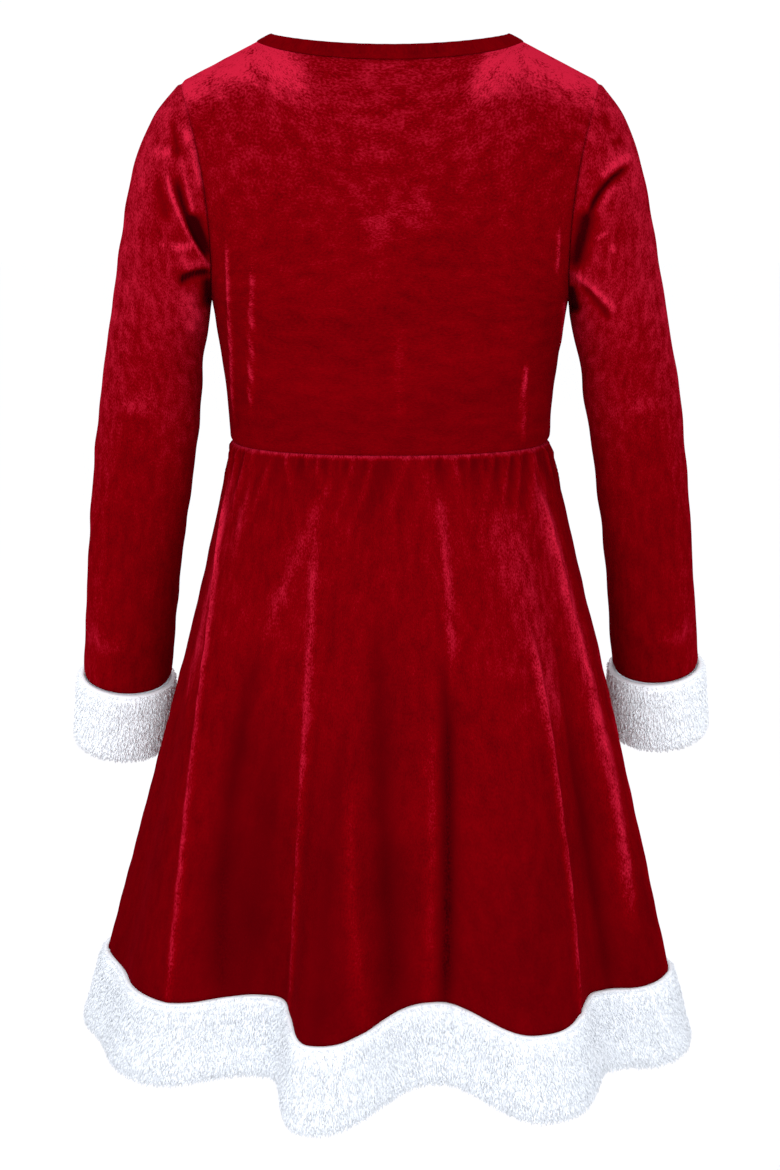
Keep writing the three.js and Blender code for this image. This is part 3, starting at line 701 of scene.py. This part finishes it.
def new_piece(bm, name, material):
    """Makes a smooth object of a finished bmesh. It rides on the one body of the dress."""
    mesh = bpy.data.meshes.new(name)
    bm.to_mesh(mesh)
    bm.free()
    mesh.materials.append(material)
    mesh.shade_smooth()
    piece = bpy.data.objects.new(name, mesh)
    bpy.context.collection.objects.link(piece)
    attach(piece, "root")
    return piece


def velvet_piece(bm, name, middle):
    """Finishes a laid-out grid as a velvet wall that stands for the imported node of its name."""
    face_outwards(bm, middle)
    piece = new_piece(bm, name + "_cloth", crushed_velvet())
    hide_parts(name)
    wall = piece.modifiers.new("Wall", "SOLIDIFY")
    wall.thickness = bpy.context.scene.dress_sizes.velvet
    wall.offset = -1
    return piece


def sewn(place, outwards, height, seams):
    """Raises the cloth by its relief and rolls it in at its seams.

    seams pairs each vertex's distance from a seam, in millimetres, with the direction in
    which the seam is thick. The relief dies out at the seams, where two panels share a line.
    """
    roll = bpy.context.scene.dress_sizes.seam_roll / MM
    free = np.ones_like(height)
    rolled = np.zeros_like(height)
    for distance, direction in seams:
        outwards = unit(mix(outwards, direction, near(distance, SEAM_TURN)[..., None]))
        free = free * (1 - near(distance, SEAM_FLAT))
        rolled = np.maximum(rolled, near(distance, SEAM_ROLL))
    return place + outwards * (height * free - roll * rolled)[..., None]


def level_out(vectors):
    """The vectors without their upward part."""
    return unit(vectors * np.array([1, 1, 0]) + 1e-9)


def bodice_piece(name, side, creases):
    """One bodice panel, from the waist seam to the neck and shoulder seams."""
    bm, u, v = cloth_grid(110, 96)
    across = 2 * edge_dense(u) - 1
    level = edge_dense(v, 0.6)

    def surface(a, b):
        return bodice(a, b, side)

    place = surface(across, level)
    outwards = normals(surface, across, level, place * np.array([1, 1, 0]) + points(0, 0, 20))
    height, brushed = line_relief(creases, place[..., 0], place[..., 2])
    height = height + 0.4 * ripple(place, 34)
    width = np.abs(across)
    rise = (level - UNDERARM_LEVEL) / (1 - UNDERARM_LEVEL)
    turn = side * 180 * (1 - np.clip(rise, 0, 1))
    armhole_way = armhole_outwards(turn)
    armhole_way[..., 0] *= np.sign(across + 1e-9)
    side_way = unit(outwards * np.array([1, 0, 1]))
    neck_turn = (0 if side > 0 else 180) + side * 90 * np.clip(across / NECK_SHARE, -1, 1)
    edge = (1 - width) * HALF_CHEST
    below = np.where(level <= UNDERARM_LEVEL, 0, OUT_OF_REACH)
    above = np.where(level > UNDERARM_LEVEL, 0, OUT_OF_REACH)
    seams = [
        (level * BODICE_HEIGHT, level_out(outwards)),
        (edge + below, side_way),
        (edge + above, armhole_way),
        (SHOULDER_LENGTH * (1 - level) / (1 - BLADE_LEVEL), neck_outwards(neck_turn)),
    ]
    # Painted highlight on the tops of the shoulders and, more softly, over the upper bodice; painted
    # shade towards the waist.
    uneven = level + 0.02 * ripple(place, 17)
    shoulder = ease(0.84, 0.94, uneven) * ease(0.25, 0.45, width)
    brushed = brushed + 1.05 * shoulder + 0.24 * ease(0.55, 1, uneven)
    brushed = brushed - 0.1 * (1 - ease(0.1, 0.6, level))
    shares = ((across + 1) / 2, level)
    cut = (2 * HALF_CHEST * MM * GRAIN_ACROSS[0], BODICE_HEIGHT * MM * GRAIN_ACROSS[1])
    lay_out(bm, sewn(place, outwards, height, seams), brushed, shares, cut)
    piece = velvet_piece(bm, name, (0, 0, UNDERARM_Z))


def binding_piece():
    """The folded strip round the neck, a flat tube a little thicker than the bodice."""
    bm, u, v = cloth_grid(180, 14)
    turn = 360 * u
    c = np.cos(2 * math.pi * v)
    s = np.sin(2 * math.pi * v)
    inwards = np.sign(c) * np.abs(c) ** 0.5 * BINDING_WIDTH / 2
    out = np.sign(s) * np.abs(s) ** 0.7 * BINDING_THICKNESS / 2
    pucker = PUCKER_HEIGHT * np.sin(np.radians(turn * PUCKERS)) * (s > 0)
    middle = neck_edge(turn) + neck_inwards(turn) * (BINDING_WIDTH / 2 - NECK_LAP)
    middle = middle - neck_outwards(turn) * (BINDING_THICKNESS / 2 - 0.5)
    place = middle + neck_inwards(turn) * inwards[..., None]
    place = place + neck_outwards(turn) * (out + pucker)[..., None]
    lay_out(bm, place, np.full_like(turn, -0.1), (u, v), (0.55, 0.03))
    bmesh.ops.recalc_face_normals(bm, faces=bm.faces)
    piece = new_piece(bm, "neck_binding_cloth", crushed_velvet())
    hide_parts("neck_binding")


def sleeve_piece(name, right, back_creases):
    """One sleeve, from the armhole to the seam of the plush cuff."""
    bm, u, v = cloth_grid(124, 164)
    turns = 1 - u if right else u
    at = edge_dense(v, 0.6)

    def surface(a, b):
        return sleeve(a, b, right)

    place = surface(turns, at)
    middle = (surface(np.zeros_like(at), at) + surface(np.full_like(at, 0.5), at)) / 2
    outwards = normals(surface, turns, at, place - middle)
    back = ease(-0.15, 0.15, np.sin(2 * math.pi * turns))
    height, brushed = line_relief(back_creases, place[..., 0], place[..., 2]) * back
    front_height, front_pile_and_painted_light = line_relief(SLEEVE_FRONT, np.abs(place[..., 0]), place[..., 2])
    height = height + front_height * (1 - back)
    brushed = brushed + front_pile_and_painted_light * (1 - back)
    soft = 0.8 * ripple(place, 46) * ease(0.02, 0.2, at)
    armhole_way = armhole_outwards(360 * turns)
    if right:
        armhole_way[..., 0] *= -1
    seams = [(at * SLEEVE_LENGTH, armhole_way), ((1 - at) * SLEEVE_LENGTH, outwards)]
    # Painted highlight on the upper sleeve and along its outer side, fading down the arm, and a little
    # painted shade near the cuff.
    outer = ease(0.3, 0.95, np.cos(2 * math.pi * turns))
    brushed = brushed + 0.23 * (1 - ease(0.3, 0.8, at)) - 0.04 * ease(0.5, 0.9, at)
    brushed = brushed + outer * (0.26 - 0.12 * ease(0.35, 0.9, at))
    cut = (SLEEVE_GIRTH * MM * GRAIN_DOWN[0], SLEEVE_LENGTH * MM * GRAIN_DOWN[1])
    lay_out(bm, sewn(place, outwards, height + soft, seams), brushed, (turns, at), cut)
    piece = velvet_piece(bm, name, middle[0])


def skirt_piece(name, start):
    """Half of the gathered skirt, from the waist seam to the seam of the hem band."""
    bm, u, v = cloth_grid(284, 114)
    angle = start + 180 * edge_dense(u, 0.3)
    drop = v**1.15
    place = skirt(angle, drop)
    outwards = normals(skirt, angle, drop, level_way(angle))
    height, brushed = skirt_relief(angle, drop)
    height = height + 0.6 * ripple(place, 40) * ease(0, 0.1, drop)
    millimetres_a_degree = mix(2.0, 3.4, drop)
    side = np.minimum(angle - start, start + 180 - angle) * millimetres_a_degree
    seams = [
        (drop * (WAIST_Z - HEM_Z), level_out(outwards)),
        (side, unit(outwards * np.array([1, 0, 1]))),
    ]
    # Painted shade: the skirt's velvet is darker towards the hem.
    brushed = brushed - 0.2 * ease(0.3, 1, drop)
    cut = (SKIRT_HALF_WIDTH * MM * GRAIN_DOWN[0], (WAIST_Z - HEM_Z) * MM * GRAIN_DOWN[1])
    lay_out(bm, sewn(place, outwards, height, seams), brushed, ((angle - start) / 180, drop), cut)
    piece = velvet_piece(bm, name, (0, 0, HEM_Z))


def band_piece(name, bm, place, shares, flat):
    """The dense body of a plush band with its knitted backing, closed all round."""
    lay_out(bm, place, np.zeros(len(place)), shares, flat)
    bmesh.ops.holes_fill(bm, edges=bm.edges)
    bmesh.ops.recalc_face_normals(bm, faces=bm.faces)
    piece = new_piece(bm, name + "_backing", plush())
    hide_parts(name)


def tuft_template():
    """One tuft as a three-sided spike from z 0 to 1, fullest a third of the way up."""
    bm = bmesh.new()
    bmesh.ops.create_cone(bm, segments=3, radius1=0.7, radius2=0, depth=1, cap_ends=False)
    bmesh.ops.translate(bm, verts=bm.verts, vec=(0, 0, 0.5))
    parts = bm.verts[:] + bm.edges[:] + bm.faces[:]
    bmesh.ops.bisect_plane(bm, geom=parts, plane_co=(0, 0, 0.4), plane_no=(0, 0, 1))
    ring = [vert for vert in bm.verts if 0.3 < vert.co.z < 0.5]
    bmesh.ops.scale(bm, verts=ring, vec=(2, 2, 1))
    bm.verts.index_update()
    shape = np.array([vert.co[:] for vert in bm.verts])
    faces = [[vert.index for vert in face.verts] for face in bm.faces]
    bm.free()
    return shape, faces


def tufts_piece(name, root, out, down, size, to_place=None, tip_shade=1.0):
    """All the tufts of one band as one piece, each bent over from outwards to downwards."""
    shape, faces = tuft_template()
    sizes = bpy.context.scene.dress_sizes
    random = np.random.default_rng(sizes.seed)
    count = len(root)
    length = sizes.tuft_length / MM * size * random.uniform(0.75, 1.2, count)
    width = sizes.tuft_width / MM * random.uniform(0.8, 1.25, count)
    side = unit(np.cross(out, down))
    lift = random.normal(0.2, 0.07, count)[:, None]
    sway = random.normal(0, 0.17, count)[:, None]
    way = unit(down + out * lift + side * sway)
    flat_side = unit(np.cross(way, out))
    flat_out = np.cross(flat_side, way)
    along = shape[:, 2]
    curl = random.normal(0, 0.1, count)[:, None] * side
    curl = curl + out * random.normal(0.1, 0.05, count)[:, None]
    spots = root[:, None] + way[:, None] * (along[:, None] * length[:, None, None])
    spots = spots + curl[:, None] * (np.sin(math.pi * along)[:, None] * length[:, None, None])
    spots = spots + flat_side[:, None] * (shape[:, 0, None] * width[:, None, None])
    spots = spots + flat_out[:, None] * (shape[:, 1, None] * width[:, None, None] * 0.4)
    if to_place is not None:
        spots = to_place(spots)
    starts = range(0, count * len(shape), len(shape))
    corners = [[start + corner for corner in face] for start in starts for face in faces]
    mesh = bpy.data.meshes.new(name)
    mesh.from_pydata(spots.reshape(-1, 3) * MM, [], corners)
    if to_place is not None:
        mesh.flip_normals()
    tip = mesh.attributes.new("tip", "FLOAT", "POINT")
    shade = np.tile(0.25 + 0.75 * along, count)
    shade = shade * np.repeat(random.uniform(0.8, 1, count), len(shape))
    tip.data.foreach_set("value", shade * tip_shade)
    mesh.materials.append(plush())
    mesh.shade_smooth()
    piece = bpy.data.objects.new(name, mesh)
    bpy.context.collection.objects.link(piece)
    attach(piece, "root")
    return piece


def scattered(length, width):
    """Jittered places of tufts on a strip in millimetres, as shares along it and down it."""
    sizes = bpy.context.scene.dress_sizes
    spacing = sizes.tuft_spacing / MM
    random = np.random.default_rng(sizes.seed + 1)
    columns, rows = int(length / spacing), int(width / spacing)
    along, down = np.meshgrid(np.arange(columns) + 0.5, np.arange(rows) + 0.5, indexing="ij")
    along = along + 0.5 * (down % 2)
    along = along + random.uniform(-0.45, 0.45, along.shape)
    down = down + random.uniform(-0.45, 0.45, down.shape)
    return (along.ravel() / columns) % 1, (down.ravel() / rows).clip(0.012, 1)


def body_height(down):
    """Height of the pile body at a share down the band, in millimetres."""
    outer = BAND_SECTION[:7]
    share = np.interp(down, [row.down for row in outer], [row.height for row in outer])
    return share * bpy.context.scene.dress_sizes.pile_body / MM


def band_section(v):
    """Shares down a band, and heights in millimetres, at shares once round its cross-section."""
    height = column(BAND_SECTION, "height", v) * bpy.context.scene.dress_sizes.pile_body / MM
    return column(BAND_SECTION, "down", v), height


def rooted(raised, where, low):
    """Roots of tufts a little inside the pile body, and the way the body slopes down there."""
    root = raised(where, low, body_height(low) - ROOT_DEPTH)
    above = np.minimum(low, 0.9) - 0.02
    below = np.minimum(low, 0.9) + 0.02
    lower = raised(where, below, body_height(below))
    return root, unit(lower - raised(where, above, body_height(above)))


def tuft_size(low):
    """Size of tufts down the band: smaller at the seam and a little smaller round the edge."""
    return mix(0.6, 1, ease(0, 0.12, low)) * mix(1, 0.72, ease(0.85, 1, low))


def hem_band(name, start):
    """Half of the plush band along the hem."""
    skirt_length = WAIST_Z - HEM_Z

    def surface(angle, down):
        return skirt(angle, 1 + down * HEM_BAND_WIDTH / skirt_length)

    def outwards(angle, down):
        return normals(surface, angle, down, level_way(angle))

    def raised(angle, down, height):
        relief = skirt_relief(angle, 1 + down * HEM_BAND_WIDTH / skirt_length)[0]
        return surface(angle, down) + outwards(angle, down) * (relief + height)[..., None]

    bm, u, v = cloth_grid(240, 22)
    down, height = band_section(v)
    body = raised(start + 180 * u, down, height)

    steps = start + np.linspace(0, 180, 721)
    walk = np.linalg.norm(np.diff(surface(steps, np.full_like(steps, 0.5)), axis=0), axis=1)
    walked = np.concatenate([[0], np.cumsum(walk)])
    share, low = scattered(walked[-1], HEM_BAND_WIDTH)
    where = np.interp(share * walked[-1], walked, steps)
    root, slope = rooted(raised, where, low)
    tufts = tufts_piece(name + "_pile", root, outwards(where, low), slope, tuft_size(low))
    band_piece(name, bm, body, (u, v), (0.76, 0.062))


def cuff(name, right):
    """A plush cuff: a straight band that runs on from the end of a sleeve."""
    axis = unit(sleeve_middle(np.array(1.0)) - sleeve_middle(np.array(0.95)))

    def outwards(turns):
        at = np.ones_like(turns)
        place = sleeve(turns, at)
        out = normals(sleeve, turns, at, place - sleeve_middle(1.0))
        return unit(out - axis * (out @ axis)[..., None])

    def raised(turns, down, height):
        run = (down * CUFF_WIDTH)[..., None]
        return sleeve(turns, np.ones_like(turns)) + axis * run + outwards(turns) * height[..., None]

    bm, u, v = cloth_grid(96, 22)
    down, height = band_section(v)
    body = raised(u, down, height)
    turns, low = scattered(CUFF_GIRTH, CUFF_WIDTH)
    root, slope = rooted(raised, turns, low)
    size = tuft_size(low)
    to_place = None

    def on_right(spots):
        return to_right(spots, turns[:, None], 1.0)

    if right:
        body = to_right(body, u, 1.0)
        to_place = on_right
    out = outwards(turns)
    tufts = tufts_piece(name + "_pile", root, out, slope, size, to_place, CUFF_TIP_SHADE)
    band_piece(name, bm, body, (u, v), (0.235, 0.058))


# Materials


def add_node(tree, kind, sockets, **settings):
    """A shader node with its settings, and its sockets set to values or linked to outputs."""
    made = tree.nodes.new(kind)
    for setting, value in settings.items():
        setattr(made, setting, value)
    for socket, value in sockets.items():
        if isinstance(value, bpy.types.NodeSocket):
            tree.links.new(value, made.inputs[socket])
        else:
            made.inputs[socket].default_value = value
    return made


def new_material(name):
    material = bpy.data.materials.new(name)
    material.use_nodes = True
    material.node_tree.nodes.clear()
    return material, material.node_tree


def finish_material(tree, shader):
    add_node(tree, "ShaderNodeOutputMaterial", {"Surface": shader.outputs["BSDF"]})


def tooth(tree, scale, strength, distance):
    """Fine unevenness of a matt surface, as the normal that its bump gives."""
    place = add_node(tree, "ShaderNodeTexCoord", {}).outputs["Object"]
    noise = add_node(tree, "ShaderNodeTexNoise", {"Vector": place, "Scale": scale, "Detail": 3})
    sockets = {"Height": noise.outputs["Fac"], "Strength": strength, "Distance": distance}
    return add_node(tree, "ShaderNodeBump", sockets).outputs["Normal"]


def crushed_velvet():
    """Crushed stretch velvet, with short pile pressed in patches that lean different ways.

    Pile brushed up catches the light in bright specks and pile pressed flat looks deep and dark,
    so the cloth shimmers in patches. Each piece also carries painted light in its pile attribute:
    a painted highlight on the shoulders, on the sleeves' upper and outer sides, along the waist
    seam and on the ridges of creases and gathers, and painted shade in the grooves and pockets of
    the creases and lower down the bodice, sleeves and skirt.
    """
    name = "Crushed velvet"
    if name in bpy.data.materials:
        return bpy.data.materials[name]
    material, tree = new_material(name)
    colours = bpy.context.scene.dress_colours
    cut = add_node(tree, "ShaderNodeTexCoord", {}).outputs["UV"]
    # Per-vertex attribute: the pile's lift mixed with painted highlight and painted shade, laid on
    # each piece
    brushed = add_node(tree, "ShaderNodeAttribute", {}, attribute_name="brushed").outputs["Fac"]

    def pattern(size, detail, roughness, distortion):
        """Noise with patches of about the given size in metres."""
        sockets = {"Vector": cut, "Scale": 1 / size, "Detail": detail}
        sockets.update({"Roughness": roughness, "Distortion": distortion})
        return add_node(tree, "ShaderNodeTexNoise", sockets, noise_dimensions="2D").outputs["Fac"]

    def weighted(value, weight, rest):
        sockets = {0: value, 1: weight, 2: rest}
        return add_node(tree, "ShaderNodeMath", sockets, operation="MULTIPLY_ADD").outputs["Value"]

    wide = pattern(size=0.06, detail=2, roughness=0.5, distortion=0)
    patches = pattern(size=0.012, detail=6, roughness=0.66, distortion=0.1)
    flecks = pattern(size=0.0015, detail=2, roughness=0.7, distortion=0)
    pile = weighted(wide, 0.16, -0.01)
    pile = weighted(patches, 0.36, pile)
    pile = weighted(flecks, 0.34, pile)
    speckle = weighted(patches, 0.9, weighted(flecks, 1.1, -0.5))
    pile = weighted(brushed, speckle, pile)
    ramp = add_node(tree, "ShaderNodeValToRGB", {"Fac": pile})
    stops = ramp.color_ramp.elements
    stops[0].position = 0.08
    stops[0].color = (*colours.velvet_shade, 1)
    stops[1].color = (*colours.velvet_light, 1)
    middle = stops.new(0.5)
    middle.color = (*colours.velvet, 1)
    relief = weighted(flecks, 0.5, patches)
    bump = add_node(tree, "ShaderNodeBump", {"Height": relief, "Strength": 0.35, "Distance": 0.0008})
    sockets = {"Base Color": ramp.outputs["Color"], "Normal": bump.outputs["Normal"]}
    sockets.update({"Roughness": 0.8, "Specular IOR Level": 0.0})
    sockets.update({"Sheen Weight": 0.06, "Sheen Roughness": 0.3, "Sheen Tint": (1, 0.03, 0.08, 1)})
    finish_material(tree, add_node(tree, "ShaderNodeBsdfPrincipled", sockets))
    return material


def plush():
    """White plush, fully matt. Its roots are lighter than its tips because they lie in shade.

    That keeps the pile evenly white, with only a faint grain of tufts.
    """
    name = "White plush"
    if name in bpy.data.materials:
        return bpy.data.materials[name]
    material, tree = new_material(name)
    colours = bpy.context.scene.dress_colours
    tip = add_node(tree, "ShaderNodeAttribute", {}, attribute_name="tip").outputs["Fac"]
    mixed = add_node(tree, "ShaderNodeMix", {"Factor": tip}, data_type="RGBA")
    mixed.inputs["A"].default_value = (*colours.plush_root, 1)
    mixed.inputs["B"].default_value = (*colours.plush, 1)
    sockets = {"Base Color": mixed.outputs["Result"], "Normal": tooth(tree, 400, 0.12, 0.001)}
    sockets.update({"Roughness": 0.9, "Sheen Weight": 0.3, "Sheen Roughness": 0.5})
    finish_material(tree, add_node(tree, "ShaderNodeBsdfPrincipled", sockets))
    return material


def pale_floor():
    """Matt studio paper: a very slight tooth keeps the light on it soft."""
    material, tree = new_material("Matt studio paper")
    white = bpy.context.scene.dress_colours.floor
    sockets = {"Base Color": (*white, 1), "Roughness": 0.9, "Normal": tooth(tree, 300, 0.1, 0.0005)}
    finish_material(tree, add_node(tree, "ShaderNodeBsdfPrincipled", sockets))
    return material


# Camera, light and floor


def aim(thing, place, target):
    """Puts a camera or a light in its place, turned to a target."""
    thing.location = place
    thing.rotation_euler = (Vector(target) - Vector(place)).to_track_quat("-Z", "Y").to_euler()
    bpy.context.collection.objects.link(thing)


def add_light(lamp):
    """A square soft light that faces a target."""
    light = bpy.data.lights.new(lamp.name, "AREA")
    light.size = lamp.size
    light.energy = lamp.power
    aim(bpy.data.objects.new(lamp.name, light), lamp.place, lamp.target)


def add_camera():
    """The camera of the photograph, behind the dress at the height of its neck."""
    data = bpy.data.cameras.new("Camera")
    data.lens = CAMERA_LENS
    data.sensor_fit = "VERTICAL"
    data.sensor_height = SENSOR_HEIGHT
    camera = bpy.data.objects.new("Camera", data)
    aim(camera, CAMERA_PLACE, CAMERA_TARGET)
    bpy.context.scene.camera = camera


def add_floor():
    bm = bmesh.new()
    bmesh.ops.create_grid(bm, x_segments=1, y_segments=1, size=12)
    bmesh.ops.translate(bm, verts=bm.verts, vec=(0, 0, FLOOR_Z))
    mesh = bpy.data.meshes.new("floor")
    bm.to_mesh(mesh)
    bm.free()
    mesh.materials.append(pale_floor())
    floor = bpy.data.objects.new("floor", mesh)
    bpy.context.collection.objects.link(floor)


def add_world():
    world = bpy.data.worlds.new("Studio")
    world.use_nodes = True
    background = world.node_tree.nodes["Background"]
    background.inputs["Color"].default_value = WORLD_COLOUR
    background.inputs["Strength"].default_value = WORLD_LIGHT
    bpy.context.scene.world = world


# Operators and panel


class DRESS_OT_bodice(Operator):
    """Lay the two bodice panels"""

    bl_idname = "dress.bodice"
    bl_label = "Bodice"

    def execute(self, context):
        bodice_piece("bodice_back", 1, BODICE_BACK)
        bodice_piece("bodice_front", -1, BODICE_FRONT)
        return {"FINISHED"}


class DRESS_OT_neck_binding(Operator):
    """Fold the binding round the neck"""

    bl_idname = "dress.neck_binding"
    bl_label = "Neck binding"

    def execute(self, context):
        binding_piece()
        return {"FINISHED"}


class DRESS_OT_sleeves(Operator):
    """Lay the two sleeves with their creases"""

    bl_idname = "dress.sleeves"
    bl_label = "Sleeves"

    def execute(self, context):
        sleeve_piece("sleeve_left", False, LEFT_SLEEVE_BACK)
        sleeve_piece("sleeve_right", True, RIGHT_SLEEVE_BACK)
        return {"FINISHED"}


class DRESS_OT_skirt(Operator):
    """Gather the two halves of the skirt"""

    bl_idname = "dress.skirt"
    bl_label = "Skirt"

    def execute(self, context):
        skirt_piece("skirt_back", 0)
        skirt_piece("skirt_front", 180)
        return {"FINISHED"}


class DRESS_OT_plush_bands(Operator):
    """Add the plush cuffs and the plush hem with their pile"""

    bl_idname = "dress.plush_bands"
    bl_label = "Plush bands"

    def execute(self, context):
        cuff("cuff_left", False)
        cuff("cuff_right", True)
        hem_band("hem_band_back", 0)
        hem_band("hem_band_front", 180)
        return {"FINISHED"}


class DRESS_OT_stage(Operator):
    """Set up the camera, the lights and the floor"""

    bl_idname = "dress.stage"
    bl_label = "Stage"

    def execute(self, context):
        add_camera()
        add_world()
        add_floor()
        for lamp in LAMPS:
            add_light(lamp)
        context.scene.view_settings.view_transform = "Standard"
        return {"FINISHED"}


class DRESS_PT_panel(Panel):
    """Sidebar panel with the steps of the dress"""

    bl_idname = "DRESS_PT_panel"
    bl_label = "Velvet costume dress"
    bl_space_type = "VIEW_3D"
    bl_region_type = "UI"
    bl_category = "Dress"

    def draw(self, context):
        for settings in (context.scene.dress_sizes, context.scene.dress_colours):
            for name in settings.__annotations__:
                self.layout.prop(settings, name)
        for operator in OPERATORS:
            self.layout.operator(operator.bl_idname)


OPERATORS = (
    DRESS_OT_bodice,
    DRESS_OT_neck_binding,
    DRESS_OT_sleeves,
    DRESS_OT_skirt,
    DRESS_OT_plush_bands,
    DRESS_OT_stage,
)
CLASSES = (DressSizes, DressColours, *OPERATORS, DRESS_PT_panel)


def register():
    for cls in CLASSES:
        bpy.utils.register_class(cls)
    bpy.types.Scene.dress_sizes = PointerProperty(type=DressSizes)
    bpy.types.Scene.dress_colours = PointerProperty(type=DressColours)


def unregister():
    del bpy.types.Scene.dress_colours
    del bpy.types.Scene.dress_sizes
    for cls in reversed(CLASSES):
        bpy.utils.unregister_class(cls)


def main():
    """Builds the whole dress and its stage."""
    register()
    bpy.ops.dress.bodice()
    bpy.ops.dress.neck_binding()
    bpy.ops.dress.sleeves()
    bpy.ops.dress.skirt()
    bpy.ops.dress.plush_bands()
    bpy.ops.dress.stage()


if __name__ == "__main__":
    main()
